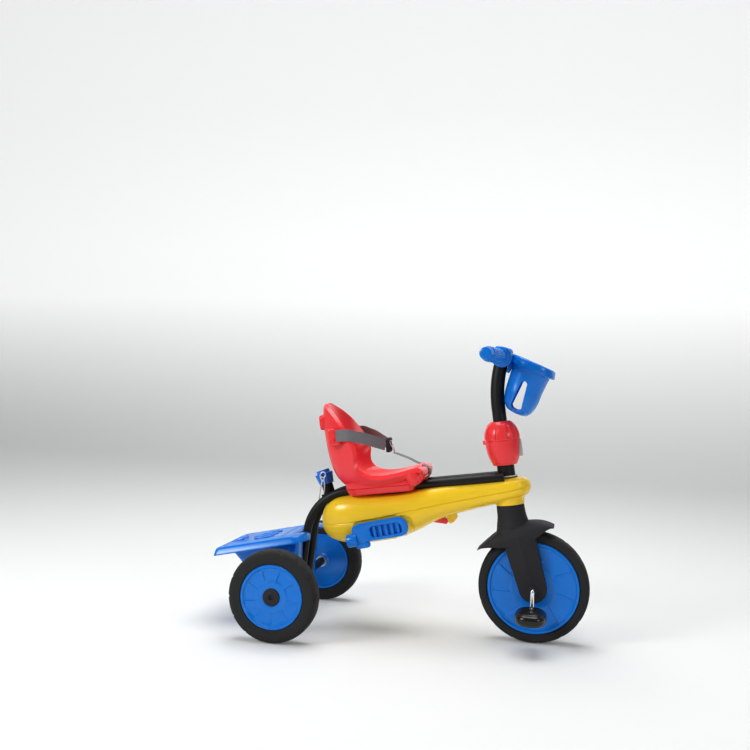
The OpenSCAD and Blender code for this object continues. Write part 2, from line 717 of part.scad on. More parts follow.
module fork_bushes() color("white") front_hub() for (s = [right, left])
    mirror([0, s < 0 ? 1 : 0, 0]) turned([[crank_r + run, fork_in_y - 1.5], [fork_bush_r + 3, fork_in_y - 1.5],
        [fork_bush_r + 3, fork_in_y], [fork_bush_r, fork_in_y], [fork_bush_r, fork_out_y],
        [crank_r + run, fork_out_y]]);

bolt_r = 2.5;
bolt_rows = [collar_z + 20, collar_z + 44];

module collar_lower() color("red") head() difference() {
    rotate_extrude() polygon([[steer_r, collar_z], [27, collar_z], [33, collar_z + 9],
        [37.5, collar_z + 24], [39.5, collar_z + 42], [40, collar_split], [steer_r, collar_split]]);
    for (z = bolt_rows) translate([0, 0, z]) rotate([0, 90, 0]) cylinder(r = bolt_r, h = 60);
}

module collar_upper() color("red") head() rotate_extrude() polygon([[stem_r + 0.4, collar_split + 10.5],
    [steer_r + 0.4, collar_split + 10.5], [steer_r + 0.4, collar_split + 0.5], [40, collar_split + 0.5],
    [40.5, collar_split + 8], [38.5, collar_split + 18], [33.5, collar_split + 31],
    [23, collar_top], [stem_r + 0.4, collar_top]]);

module collar_bolts() color("silver") head() for (z = bolt_rows)
    translate([0, 0, z]) rotate([0, 90, 0]) translate([0, 0, steer_r]) cylinder(r = bolt_r, h = 14);

module badge_plate() color("silver") head() difference() {
    translate([36, -12, 44]) cube([6.5, 24, 42]);
    rotate_extrude() polygon([[0, 0], [27, collar_z], [33, collar_z + 9], [37.5, collar_z + 24],
        [39.5, collar_z + 42], [40, collar_split], [0, collar_split]]);
}

stem_bottom = -20;
stem_bend_z = 165;
stem_bend_r = 275;
stem_turn = 24.5;
bar_x = stem_bend_r * (1 - cos(stem_turn));
bar_z = stem_bend_z + stem_bend_r * sin(stem_turn);
bar_r = 10;
knot_r = 18;
stem_wall = 2;
bar_sweep = 6.1;
bar_rise = 2.2;
cover_r = 24;
cover_half = 38;

module bar_frame(side) translate([bar_x, 0, bar_z]) rotate([0, 0, side * bar_sweep])
    rotate([-side * (90 - bar_rise), 0, 0]) children();

// Stem: rings of radius r, straight up and then round the bend; over is how
// far the straight end is carried on
stem_sides = 28;
stem_bends = 7;

function stem_ring(r, a, lift) = [for (i = [0:stem_sides - 1]) let (t = 360 * i / stem_sides,
        d = stem_bend_r - r * cos(t))
    [stem_bend_r - d * cos(a) + (a == 0 ? 0 : lift * sin(a)), r * sin(t),
     (a == 0 ? lift : stem_bend_z + d * sin(a) + lift * cos(a))]];

module stem_rod(r, over) skin(concat([stem_ring(r, 0, stem_bottom - over)],
    [stem_ring(r, 0, stem_bend_z)],
    [for (i = [1:stem_bends]) stem_ring(r, stem_turn * i / stem_bends, i == stem_bends ? over : 0)]));

module bar_knot() translate([bar_x, 0, bar_z]) sphere(r = knot_r);

module handlebar_stem() color("black") head() difference() {
    stem_rod(stem_r, 0);
    stem_rod(stem_r - stem_wall, 1);
    bar_knot();
    for (s = [right, left]) bar_frame(s) cylinder(r = bar_r, h = cover_half);
}

module handlebar_bar() color("black") head() {
    bar_knot();
    for (s = [right, left]) bar_frame(s) cylinder(r = bar_r, h = bar_half_l - 6);
}

module handlebar_cover() color("blue") head() difference() {
    translate([bar_x, 0, bar_z]) across(cover_r, -cover_half, cover_half);
    stem_rod(stem_r, 0);
    bar_knot();
    for (s = [right, left]) bar_frame(s) cylinder(r = bar_r, h = bar_half_l);
}

grip_start = cover_half + 5;
grip_l = bar_half_l - grip_start;

module grip(side) color("dodgerblue") head() bar_frame(side) translate([0, 0, grip_start]) difference() {
    rotate_extrude() polygon(concat([[0, 0], [21, 0], [21, 5]],
        [for (i = [0:5]) each [[14.5, 8 + 18 * i], [17, 12 + 18 * i], [17, 18 + 18 * i]]],
        [[12.5, grip_l - 14], [13.5, grip_l - 8], [13.5, grip_l - 1.5], [12, grip_l], [0, grip_l]]));
    translate([0, 0, -1]) cylinder(r = bar_r, h = grip_l - 5);
}

// Bucket: rings told from the middle of its mouth, with Z along its own axis;
// each gives the height, the back and front of the wall and the half width
bucket_tilt = 31;
bucket_x = bar_x + 62;
bucket_z = bar_z - 16;
bucket_wall = 2.5;
bucket_rings = [[-1, 8, 30, 12], [-0.985, -4, 38, 24], [-0.94, -14, 45, 33], [-0.86, -21, 50, 39],
    [-0.7, -27, 55, 44], [-0.45, -32, 56, 48], [-0.16, -38, 54, 50], [-0.14, -44, 60, 57],
    [0, -44, 60, 57]];
bucket_steps = 32;

function bucket_ring(b, g, z) = [for (i = [0:bucket_steps - 1]) let (a = 360 * i / bucket_steps)
    [(b[1] + b[2]) / 2 + ((b[2] - b[1]) / 2 - g) * pow_cos(a, 2.3), (b[3] - g) * pow_sin(a, 2.3), z]];

module bucket() color("blue") head() difference() {
    translate([bucket_x, 0, bucket_z]) rotate([0, bucket_tilt, 0]) difference() {
        union() {
            skin(concat(
                [for (b = bucket_rings) bucket_ring(b, 0, b[0] * bucket_h)],
                [for (i = [len(bucket_rings) - 1:-1:0]) let (b = bucket_rings[i])
                    bucket_ring(b, bucket_wall, min(b[0] * bucket_h + (i > 0 ? 0.5 : bucket_wall),
                        i == len(bucket_rings) - 1 ? 0 : b[0] * bucket_h + bucket_wall))]));
            translate([-60, -22, -14]) cube([20, 44, 12]);
        }
        rotate([90, 0, 0]) linear_extrude(200, center = true) {
            polygon([[3, -bucket_h * 0.42], [14, -bucket_h * 0.42], [23, -bucket_h * 0.86], [5, -bucket_h * 0.86]]);
            translate([8.5, -bucket_h * 0.42]) circle(r = 5.5);
            translate([14, -bucket_h * 0.86]) circle(r = 9);
        }
    }
    translate([bar_x, 0, bar_z]) across(cover_r, -cover_half - 1, cover_half + 1);
    stem_rod(stem_r + gap, 2);
}

// ---------- front wheel ----------

module front_tyre() color("black") front_hub() tyre(front_r, front_half, front_disc_r);

module front_disc(side) color("dodgerblue") front_hub() mirror([0, side < 0 ? 1 : 0, 0]) turned([
    [crank_r, 0], [15, 0], [15, front_half - 6], [front_disc_r - 3, front_half - 6],
    [front_disc_r - 3, 0], [front_disc_r, 0], [front_disc_r, front_half - 1.5],
    [front_disc_r - 4, front_half - 1.5], [front_disc_r - 8, front_half - 3], [16, front_half - 3],
    [14, front_half + 2], [crank_r, front_half + 2]]);

crank_y = fork_out_y + 9;
pedal_in_y = crank_y + 9;
pedal_round = 17;

module crank_axle() color("silver") front_hub() {
    across(crank_r, -crank_y, crank_y);
    for (s = [right, left]) translate([0, s * crank_y, 0]) {
        sphere(r = crank_r);
        mirror([0, 0, s < 0 ? 1 : 0]) cylinder(r = crank_r, h = crank_l);
        translate([0, 0, s * crank_l]) {
            sphere(r = crank_r);
            across(crank_r, 0, s * (pedal_in_y - crank_y + pedal_l - 7));
        }
    }
}

module pedal(side) color("black") front_hub() translate([0, side * (pedal_in_y + pedal_l / 2), side * crank_l])
    difference() {
        hull() for (x = [-1, 1], y = [-1, 1])
            translate([x * (pedal_w / 2 - pedal_round), y * (pedal_l / 2 - pedal_round), 0])
                sphere(r = pedal_round, $fn = 32);
        across(crank_r + run, -side * (pedal_l / 2 + 1), side * (pedal_l / 2 - 7 + gap));
    }

frame_tube(right);  // frame_tube_right
frame_tube(left);  // frame_tube_left
head_tube();
head_bushes();
axle_tube();
rear_axle();
axle_nuts();
body_upper();
body_lower();
seat_shell();
seat_base();
belt_anchors();
belt_screws();
belt_strap(right);  // belt_strap_right
belt_strap(left);  // belt_strap_left
belt_buckle();
crotch_strap();
socket_tube();
socket_collar();
socket_bracket();
locking_clip();
bin_tub();
lid_hinge_pins();
bin_lid();
lid_latch();
footrest(right);  // footrest_right
footrest(left);  // footrest_left
footrest_bars();
hinge_pins();
release_lever();
rear_tyre(right);  // rear_tyre_right
rear_disc(right);  // rear_disc_right
rear_inner_disc(right);  // rear_inner_disc_right
hub_cap(right);  // hub_cap_right
rear_bush(right);  // rear_bush_right
rear_tyre(left);  // rear_tyre_left
rear_disc(left);  // rear_disc_left
rear_inner_disc(left);  // rear_inner_disc_left
hub_cap(left);  // hub_cap_left
rear_bush(left);  // rear_bush_left
steering_tube();
fork();
fork_boot();
fork_bushes();
collar_lower();
collar_upper();
collar_bolts();
badge_plate();
handlebar_stem();
handlebar_bar();
handlebar_cover();
grip(right);  // grip_right
grip(left);  // grip_left
bucket();
front_tyre();
front_disc(right);  // front_disc_right
front_disc(left);  // front_disc_left
crank_axle();
pedal(right);  // pedal_right
pedal(left);  // pedal_left
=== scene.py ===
"""A children's tricycle in moulded plastic and painted tube, dressed on its frame."""

from __future__ import annotations

import json
import logging
import math
from dataclasses import dataclass, field
from enum import Enum
from typing import Callable, Sequence

import bmesh
import bpy
import numpy as np
from mathutils import Matrix, Vector


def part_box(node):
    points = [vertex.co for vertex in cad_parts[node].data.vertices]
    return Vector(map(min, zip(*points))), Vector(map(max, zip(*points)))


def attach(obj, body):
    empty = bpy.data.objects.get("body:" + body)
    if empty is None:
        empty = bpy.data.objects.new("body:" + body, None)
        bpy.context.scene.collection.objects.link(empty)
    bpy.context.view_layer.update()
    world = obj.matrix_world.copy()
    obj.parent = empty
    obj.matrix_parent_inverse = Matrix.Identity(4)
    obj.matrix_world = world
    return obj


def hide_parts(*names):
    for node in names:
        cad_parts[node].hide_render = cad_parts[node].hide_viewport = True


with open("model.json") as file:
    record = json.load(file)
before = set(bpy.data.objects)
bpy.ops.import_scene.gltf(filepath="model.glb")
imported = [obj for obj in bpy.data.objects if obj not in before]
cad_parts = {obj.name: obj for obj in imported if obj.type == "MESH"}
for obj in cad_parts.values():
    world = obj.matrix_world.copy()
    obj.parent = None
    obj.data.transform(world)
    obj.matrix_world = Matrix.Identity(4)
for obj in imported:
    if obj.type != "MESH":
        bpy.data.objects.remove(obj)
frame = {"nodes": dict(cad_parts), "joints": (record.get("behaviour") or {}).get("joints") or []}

Array = np.ndarray
MM = 0.001
WELD = 2e-6
log = logging.getLogger("tricycle")
JOINTS = {joint["name"]: joint for joint in frame["joints"]}


class Body(Enum):
    """The moving bodies that a piece can ride on."""

    CHASSIS = "chassis"
    STEERING = "steering"
    FRONT_WHEEL = "front_wheel"
    PEDAL_RIGHT = "pedal_right_body"
    PEDAL_LEFT = "pedal_left_body"
    LID = "lid"
    FOOTREST_RIGHT = "footrest_right_body"
    FOOTREST_LEFT = "footrest_left_body"
    LEVER = "lever"
    REAR_RIGHT = "rear_wheel_right"
    REAR_LEFT = "rear_wheel_left"


class Side(Enum):
    """The two sides of the tricycle, by the sign of Y."""

    RIGHT = -1
    LEFT = 1

    @property
    def word(self) -> str:
        """The side's name as the nodes spell it."""
        return self.name.lower()


# ---------------------------------------------------------------- geometry


@dataclass(frozen=True)
class Place:
    """A working frame: its origin in metres and its backward lean about Y in degrees."""

    origin: tuple[float, float, float]
    lean: float = 0.0

    def world(self, points: Array) -> Array:
        """Points in millimetres turned by the lean, scaled to metres and moved to the origin.

        Args:
            points: Points in this frame, in millimetres.

        Returns:
            The same points in metres, in the shared frame.
        """
        c, s = math.cos(math.radians(self.lean)), math.sin(math.radians(self.lean))
        x, y, z = points[..., 0], points[..., 1], points[..., 2]
        return np.stack([x * c - z * s, y, x * s + z * c], axis=-1) * MM + np.array(self.origin)

    def shifted(self, x: float, y: float, z: float, lean: float = 0.0) -> "Place":
        """A frame moved by (x, y, z) millimetres along this one's axes and leaned further."""
        moved = self.world(np.array([x, y, z], float))
        return Place(tuple(float(v) for v in moved), self.lean + lean)


def joint_place(name: str, lean: float = 0.0, y: float | None = None) -> Place:
    """The frame at a joint's position, with Y replaced where it is given."""
    x, own_y, z = JOINTS[name]["pos_m"]
    return Place((x, own_y if y is None else y, z), lean)


STEER_AXIS = JOINTS["steering_turn"]["axis"]
HEAD_LEAN = math.degrees(math.atan2(-STEER_AXIS[0], STEER_AXIS[2]))
LID_SLOPE = 12.5
FOOT_TILT = 5.0
SOCKET_LEAN = 12.0
HEAD = joint_place("steering_turn", HEAD_LEAN)
REAR = joint_place("rear_wheel_right_spin", y=0.0)
FRONT = joint_place("front_wheel_spin", y=0.0)
LID = joint_place("lid_open", LID_SLOPE)
FOOT_X = -374.0
SOCKET = HEAD.shifted(FOOT_X - 50, 0, -12, SOCKET_LEAN)


@dataclass
class Shape:
    """Vertices in millimetres, and faces as arrays whose rows are corner numbers."""

    points: Array
    faces: list[Array]

    def __add__(self, other: "Shape") -> "Shape":
        """Both shapes as one, the second one's corner numbers raised by the first one's count."""
        return Shape(np.vstack([self.points, other.points]),
                     self.faces + [f + len(self.points) for f in other.faces])

    def moved(self, x: float = 0, y: float = 0, z: float = 0) -> "Shape":
        """The shape shifted by a vector."""
        return Shape(self.points + np.array([x, y, z]), self.faces)

    def flipped(self, side: Side) -> "Shape":
        """The shape itself on the left, and its mirror image in the XZ plane on the right."""
        return self if side is Side.LEFT else Shape(self.points * np.array([1, -1, 1]), self.faces)

    def leaned(self, degrees: float) -> "Shape":
        """The shape turned about Y, so that its X axis rises."""
        return Shape(Place((0, 0, 0), degrees).world(self.points) / MM, self.faces)

    def turned_z(self, degrees: float) -> "Shape":
        """The shape turned about Z, anticlockwise from above."""
        c, s = math.cos(math.radians(degrees)), math.sin(math.radians(degrees))
        return Shape(self.points @ np.array([[c, s, 0], [-s, c, 0], [0, 0, 1]]), self.faces)


def lattice(points: Array, wrap_rows: bool = False, wrap_columns: bool = False,
            ends: tuple[bool, bool] = (False, False)) -> Shape:
    """Quads over a grid of points: corner (i, j) is joined to (i+1, j), (i+1, j+1) and (i, j+1).

    Args:
        points: The grid, with shape (rows, columns, 3).
        wrap_rows: Whether the last row joins the first one.
        wrap_columns: Whether the last column joins the first one.
        ends: Whether the first and the last row are closed with a face.

    Returns:
        The shape of the grid.
    """
    m, n = points.shape[:2]
    i, j = np.meshgrid(np.arange(m if wrap_rows else m - 1),
                       np.arange(n if wrap_columns else n - 1), indexing="ij")
    i2, j2 = (i + 1) % m, (j + 1) % n
    faces = [np.stack([i * n + j, i2 * n + j, i2 * n + j2, i * n + j2], axis=-1).reshape(-1, 4)]
    if ends[0]:
        faces.append(np.arange(n)[None, :])
    if ends[1]:
        faces.append((m - 1) * n + np.arange(n)[None, ::-1])
    return Shape(points.reshape(-1, 3), faces)


def smooth(knots: Sequence[Sequence[float]], count: int) -> Array:
    """A Catmull-Rom curve through the knots, evenly in knot number.

    Between knots p1 and p2 the weights of p0, p1, p2 and p3 are the cubic's, at the share f:
    half of (-f + 2f^2 - f^3, 2 - 5f^2 + 3f^3, f + 4f^2 - 3f^3, -f^2 + f^3).

    Args:
        knots: The points passed through, in any number of dimensions.
        count: How many points the curve gets.

    Returns:
        The curve's points, one in each row.
    """
    k = np.asarray(knots, float)
    k = k[:, None] if k.ndim == 1 else k
    padded = np.vstack([2 * k[0] - k[1], k, 2 * k[-1] - k[-2]])
    t = np.linspace(0, len(k) - 1, count)
    i = np.minimum(t.astype(int), len(k) - 2)
    f = (t - i)[:, None]
    p0, p1, p2, p3 = padded[i], padded[i + 1], padded[i + 2], padded[i + 3]
    return 0.5 * (p0 * (-f + 2 * f**2 - f**3) + p1 * (2 - 5 * f**2 + 3 * f**3)
                  + p2 * (f + 4 * f**2 - 3 * f**3) + p3 * (-f**2 + f**3))


def ramp(x: Array, low: float, high: float) -> Array:
    """0 below low, 1 above high, and 3t^2 - 2t^3 between them."""
    t = np.clip((x - low) / (high - low), 0, 1)
    return t * t * (3 - 2 * t)


def band(x: Array, low: float, high: float, soft: float) -> Array:
    """1 between low and high, falling to 0 over the distance soft at both ends."""
    return ramp(x, low - soft / 2, low + soft / 2) * (1 - ramp(x, high - soft / 2, high + soft / 2))


def power_circle(count: int, power: float, start: float = 0.0, turn: float = 360.0) -> Array:
    """Points of a superellipse: (sign cos |cos|^(2/p), sign sin |sin|^(2/p)) at even angles.

    Args:
        count: How many points.
        power: The superellipse's power; 2 gives a circle.
        start: The first angle, in degrees.
        turn: The angle run through, in degrees.

    Returns:
        The points (u, v) of an outline of radius 1.
    """
    closed = turn >= 360.0
    a = np.radians(start + np.linspace(0, turn, count, endpoint=not closed))
    c, s = np.cos(a), np.sin(a)
    return np.stack([np.sign(c) * np.abs(c) ** (2 / power),
                     np.sign(s) * np.abs(s) ** (2 / power)], axis=-1)


def turned(profile: Sequence[Sequence[float]], steps: int = 96, closed: bool = True,
           relief: Callable[[Array, Array, Array], Array] | None = None) -> Shape:
    """A profile of (radius, y) turned about the Y axis: (r cos a, y, r sin a).

    Args:
        profile: The points of the outline.
        steps: How many angles the turn has.
        closed: Whether the last point of the outline joins the first.
        relief: Takes angle, radius and y, and gives the new pair of radius and y.

    Returns:
        The turned shape.
    """
    p = np.asarray(profile, float)
    a = np.linspace(0, 2 * np.pi, steps, endpoint=False)[:, None]
    r, y = p[:, 0] + 0 * a, p[:, 1] + 0 * a
    if relief is not None:
        r, y = relief(a + 0 * r, r, y)
    return lattice(np.stack([r * np.cos(a), y, r * np.sin(a)], axis=-1), True, closed)


def upright(shape: Shape) -> Shape:
    """A shape turned about Y stood up, so that its axis is Z: (x, y, z) becomes (x, -z, y)."""
    x, y, z = shape.points.T
    return Shape(np.stack([x, -z, y], axis=-1), shape.faces)


def swept(path: Array, section: Array, across: Sequence[float] = (0, 1, 0),
          ends: bool = True) -> Shape:
    """A section carried along a path: each point is path + u * side + v * up.

    Side is the part of across that is square to the path, and up is square to both.

    Args:
        path: The path's points, (m, 3).
        section: The section's points (u, v), either (n, 2) or one for each path point (m, n, 2).
        across: The direction that stays along the section's u.
        ends: Whether the ends are closed.

    Returns:
        The swept shape.
    """
    t = np.gradient(path, axis=0)
    t /= np.linalg.norm(t, axis=1, keepdims=True)
    side = np.asarray(across, float) - t * (t @ np.asarray(across, float))[:, None]
    side /= np.linalg.norm(side, axis=1, keepdims=True)
    up = np.cross(side, t)
    s = np.broadcast_to(section, (len(path),) + section.shape[-2:])
    grid = path[:, None] + s[..., :1] * side[:, None] + s[..., 1:] * up[:, None]
    return lattice(grid, wrap_columns=True, ends=(ends, ends))


def rod(path: Array, radius: float, steps: int = 24) -> Shape:
    """A round bar along a path."""
    return swept(path, power_circle(steps, 2) * radius)


def inset(corners: Array, g: float) -> Array:
    """An anticlockwise outline drawn inwards by g: each corner moves by g (n1 + n2) / (1 + n1.n2).

    Args:
        corners: The outline's corners, anticlockwise.
        g: How far it is drawn inwards.

    Returns:
        The new corners.
    """
    edge = np.roll(corners, -1, axis=0) - corners
    edge /= np.linalg.norm(edge, axis=1, keepdims=True)
    n2 = np.stack([-edge[:, 1], edge[:, 0]], axis=-1)
    n1 = np.roll(n2, 1, axis=0)
    return corners + g * (n1 + n2) / (1 + (n1 * n2).sum(axis=1, keepdims=True))


def rounded(corners: Sequence[Sequence[float]], radii: Sequence[float] | float,
            g: float = 0.0, steps: int = 8) -> Array:
    """An outline with round corners: each corner is a quadratic curve between points a radius away.

    Args:
        corners: The outline's corners, anticlockwise.
        radii: How far from each corner its round starts.
        g: How far the outline is first drawn inwards.
        steps: How many points each corner gets.

    Returns:
        The outline's points, the same count for every g.
    """
    c = inset(np.asarray(corners, float), g)
    r = np.broadcast_to(np.asarray(radii, float), (len(c),))[:, None]
    before, after = np.roll(c, 1, axis=0) - c, np.roll(c, -1, axis=0) - c
    lb, la = (np.linalg.norm(v, axis=1, keepdims=True) for v in (before, after))
    reach = np.minimum(r, np.minimum(lb, la) * 0.49)
    a, b = c + before / lb * reach, c + after / la * reach
    t = np.linspace(0, 1, steps)[None, :, None]
    return ((1 - t)**2 * a[:, None] + 2 * t * (1 - t) * c[:, None] + t**2 * b[:, None]).reshape(-1, 2)


class Plane(Enum):
    """Which way a flat outline's two coordinates and its height go."""

    FLOOR = 0
    SIDE = 1


def stacked(rings: Sequence[tuple[Array, float]], plane: Plane = Plane.FLOOR,
            ends: tuple[bool, bool] = (True, True)) -> Shape:
    """Outlines of equal count laid over each other, each at its own height.

    Args:
        rings: Pairs of an outline (n, 2) and its height.
        plane: FLOOR puts the outline in XY and the height on Z; SIDE puts it in XZ and on Y.
        ends: Whether the first and the last ring are closed.

    Returns:
        The stacked shape.
    """
    grid = np.stack([np.column_stack([o[:, 0], o[:, 1], np.full(len(o), h)]) for o, h in rings])
    if plane is Plane.SIDE:
        grid = grid[..., [0, 2, 1]]
    return lattice(grid, wrap_columns=True, ends=ends)


def pillow(size: Sequence[float], power: float = 4.0, flat: float = 3.0, rows: int = 24,
           columns: int = 64) -> Shape:
    """A rounded block: a superellipse in XY, drawn in along Z by another superellipse.

    Args:
        size: The full size in X, Y and Z.
        power: How square the outline is.
        flat: How square the section is.
        rows: Rings from bottom to top.
        columns: Points in each ring.

    Returns:
        The closed block about the origin.
    """
    half = power_circle(rows, flat, -90, 180)
    ring = power_circle(columns, power)
    grid = np.concatenate([
        half[:, None, :1] * ring[None] * np.array(size[:2]) / 2,
        np.repeat(half[:, None, 1:] * size[2] / 2, columns, axis=1)], axis=-1)
    return lattice(grid, wrap_columns=True)


# ---------------------------------------------------------------- materials


def new_group(name: str, inputs: dict[str, float | tuple], outputs: dict[str, str]) -> tuple:
    """An empty shader group with its sockets.

    Args:
        name: The group's name.
        inputs: Socket name to its value; a tuple makes a colour socket.
        outputs: Socket name to its type.

    Returns:
        The group, its input node and its output node.
    """
    group = bpy.data.node_groups.new(name, "ShaderNodeTree")
    for key, value in inputs.items():
        kind = "NodeSocketColor" if isinstance(value, tuple) else "NodeSocketFloat"
        group.interface.new_socket(key, in_out="INPUT", socket_type=kind).default_value = value
    for key, kind in outputs.items():
        group.interface.new_socket(key, in_out="OUTPUT", socket_type=kind)
    return group, group.nodes.new("NodeGroupInput"), group.nodes.new("NodeGroupOutput")


def add(tree: bpy.types.NodeTree, kind: str, links: dict | None = None, **values) -> bpy.types.Node:
    """A node with its properties set and its inputs linked or filled.

    Args:
        tree: The tree that gets the node.
        kind: The node's type.
        links: Input name or number to a socket or a plain value.
        values: The node's own properties.

    Returns:
        The node.
    """
    node = tree.nodes.new(kind)
    for key, value in values.items():
        setattr(node, key, value)
    for key, value in (links or {}).items():
        if isinstance(value, bpy.types.NodeSocket):
            tree.links.new(value, node.inputs[key])
        else:
            node.inputs[key].default_value = value
    return node


def moulding_group() -> bpy.types.NodeTree:
    """Moulded or painted surface: fine grain, slow unevenness and handling marks.

    Height is grain noise plus a slow sink wave. Roughness rises with smudges. Colour is the
    base colour times a slow shade, greyed where scuffs are.

    Returns:
        The node group.
    """
    group, gin, gout = new_group(
        "moulded_surface",
        {"Colour": (1, 1, 1, 1), "Scuff Colour": (0.5, 0.5, 0.5, 1), "Roughness": 0.4,
         "Grain Scale": 900.0, "Grain": 0.3, "Waviness": 0.3, "Wear": 0.2},
        {"Colour": "NodeSocketColor", "Roughness": "NodeSocketFloat", "Height": "NodeSocketFloat"})
    place = add(group, "ShaderNodeTexCoord").outputs["Object"]
    grain = add(group, "ShaderNodeTexNoise", {"Vector": place, "Scale": gin.outputs["Grain Scale"],
                                              "Detail": 3.0, "Roughness": 0.6})
    wave = add(group, "ShaderNodeTexNoise", {"Vector": place, "Scale": 22.0, "Detail": 1.0})
    smudge = add(group, "ShaderNodeTexNoise", {"Vector": place, "Scale": 38.0, "Detail": 6.0,
                                               "Roughness": 0.7, "Distortion": 0.6})
    scratch_place = add(group, "ShaderNodeMapping", {"Vector": place, "Scale": (30, 140, 300),
                                                     "Rotation": (0.3, 0.5, 0.2)})
    scratch = add(group, "ShaderNodeTexNoise", {"Vector": scratch_place.outputs[0], "Scale": 1.0,
                                                "Detail": 4.0, "Distortion": 0.4})
    scuff = add(group, "ShaderNodeMapRange", {"Value": scratch.outputs[0], "From Min": 0.66,
                                              "From Max": 0.74})
    worn = add(group, "ShaderNodeMath", {0: scuff.outputs[0], 1: gin.outputs["Wear"]},
               operation="MULTIPLY")
    height = add(group, "ShaderNodeMath", {0: grain.outputs[0], 1: gin.outputs["Grain"]},
                 operation="MULTIPLY")
    height = add(group, "ShaderNodeMath", {0: wave.outputs[0], 1: gin.outputs["Waviness"],
                                           2: height.outputs[0]}, operation="MULTIPLY_ADD")
    spread = add(group, "ShaderNodeMapRange", {"Value": smudge.outputs[0], "From Min": 0.35,
                                               "From Max": 0.7, "To Min": -0.05, "To Max": 0.09})
    rough = add(group, "ShaderNodeMath", {0: gin.outputs["Roughness"], 1: spread.outputs[0]},
                operation="ADD")
    rough = add(group, "ShaderNodeMath", {0: worn.outputs[0], 1: 0.5, 2: rough.outputs[0]},
                operation="MULTIPLY_ADD", use_clamp=True)
    shade = add(group, "ShaderNodeMapRange", {"Value": wave.outputs[0], "To Min": 0.94,
                                              "To Max": 1.05})
    colour = add(group, "ShaderNodeMix", {0: 1.0, 6: gin.outputs["Colour"], 7: shade.outputs[0]},
                 data_type="RGBA", blend_type="MULTIPLY")
    colour = add(group, "ShaderNodeMix", {0: worn.outputs[0], 6: colour.outputs[2],
                                          7: gin.outputs["Scuff Colour"]}, data_type="RGBA")
    for key, socket in (("Colour", colour.outputs[2]), ("Roughness", rough.outputs[0]),
                        ("Height", height.outputs[0])):
        group.links.new(socket, gout.inputs[key])
    return group


def webbing_group() -> bpy.types.NodeTree:
    """Woven webbing on the strap's own UV: herringbone ribs across and along, and their painted shade.

    Height is the product of a sine across and a sine along, their phase shifted each half width.
    The colour follows the height, broken up by noise: painted shade in the weave's hollows and
    painted light on its raised ribs.

    Returns:
        The node group.
    """
    group, gin, gout = new_group(
        "webbing_weave", {"Light": (1, 1, 1, 1), "Dark": (0, 0, 0, 1), "Picks": 300.0, "Ends": 30.0},
        {"Colour": "NodeSocketColor", "Height": "NodeSocketFloat"})
    uv = add(group, "ShaderNodeUVMap")
    split = add(group, "ShaderNodeSeparateXYZ", {0: uv.outputs[0]})
    ends = add(group, "ShaderNodeMath", {0: split.outputs[0], 1: gin.outputs["Ends"]},
               operation="MULTIPLY")
    slant = add(group, "ShaderNodeMath", {0: ends.outputs[0], 1: 1.0}, operation="PINGPONG")
    picks = add(group, "ShaderNodeMath", {0: split.outputs[1], 1: gin.outputs["Picks"],
                                          2: slant.outputs[0]}, operation="MULTIPLY_ADD")
    waves = [add(group, "ShaderNodeMath", {0: node.outputs[0], 1: 0.5}, operation="PINGPONG")
             for node in (ends, picks)]
    height = add(group, "ShaderNodeMath", {0: waves[0].outputs[0], 1: waves[1].outputs[0]},
                 operation="ADD")
    fuzz = add(group, "ShaderNodeTexNoise", {"Vector": uv.outputs[0], "Scale": 60.0, "Detail": 4.0})
    # The colour mix follows the weave's height: painted shade in the hollows, painted light on the raised
    # ribs
    weave_shading = add(group, "ShaderNodeMath", {0: height.outputs[0], 1: fuzz.outputs[0]},
                operation="MULTIPLY", use_clamp=True)
    colour = add(group, "ShaderNodeMix", {0: weave_shading.outputs[0], 6: gin.outputs["Dark"],
                                          7: gin.outputs["Light"]}, data_type="RGBA")
    group.links.new(colour.outputs[2], gout.inputs["Colour"])
    group.links.new(height.outputs[0], gout.inputs["Height"])
    return group


MOULDING = moulding_group()
WEBBING = webbing_group()


@dataclass(frozen=True)
class Finish:
    """A finish for moulded plastic, paint, metal or rubber."""

    slot: str
    colour: tuple[float, float, float]
    roughness: float
    coat: float = 0.0
    metallic: float = 0.0
    grain_scale: float = 900.0
    grain: float = 0.25
    waviness: float = 0.4
    wear: float = 0.03
    scuff: tuple[float, float, float] = (0.7, 0.7, 0.7)
    bump: float = 0.12
    specular: float = 0.5
    subsurface: float = 0.0
    label: str = ""

    def material(self) -> bpy.types.Material:
        """The finish as a material, made once.

        Returns:
            The material.
        """
        name = self.label or self.slot
        if name in bpy.data.materials:
            return bpy.data.materials[name]
        made = bpy.data.materials.new(name)
        made.use_nodes = True
        tree = made.node_tree
        shader = tree.nodes["Principled BSDF"]
        surface = add(tree, "ShaderNodeGroup", node_tree=MOULDING)
        for key, value in (("Colour", (*self.colour, 1)), ("Scuff Colour", (*self.scuff, 1)),
                           ("Roughness", self.roughness), ("Grain Scale", self.grain_scale),
                           ("Grain", self.grain), ("Waviness", self.waviness), ("Wear", self.wear)):
            surface.inputs[key].default_value = value
        bump = add(tree, "ShaderNodeBump", {"Height": surface.outputs["Height"],
                                            "Strength": self.bump, "Distance": 0.001})
        tree.links.new(surface.outputs["Colour"], shader.inputs["Base Color"])
        tree.links.new(surface.outputs["Roughness"], shader.inputs["Roughness"])
        tree.links.new(bump.outputs[0], shader.inputs["Normal"])
        shader.inputs["Metallic"].default_value = self.metallic
        shader.inputs["Coat Weight"].default_value = self.coat
        shader.inputs["Coat Roughness"].default_value = 0.12
        shader.inputs["Specular IOR Level"].default_value = self.specular
        if self.subsurface:
            shader.inputs["Subsurface Weight"].default_value = self.subsurface
            shader.inputs["Subsurface Radius"].default_value = (0.004, 0.0015, 0.001)
        return made


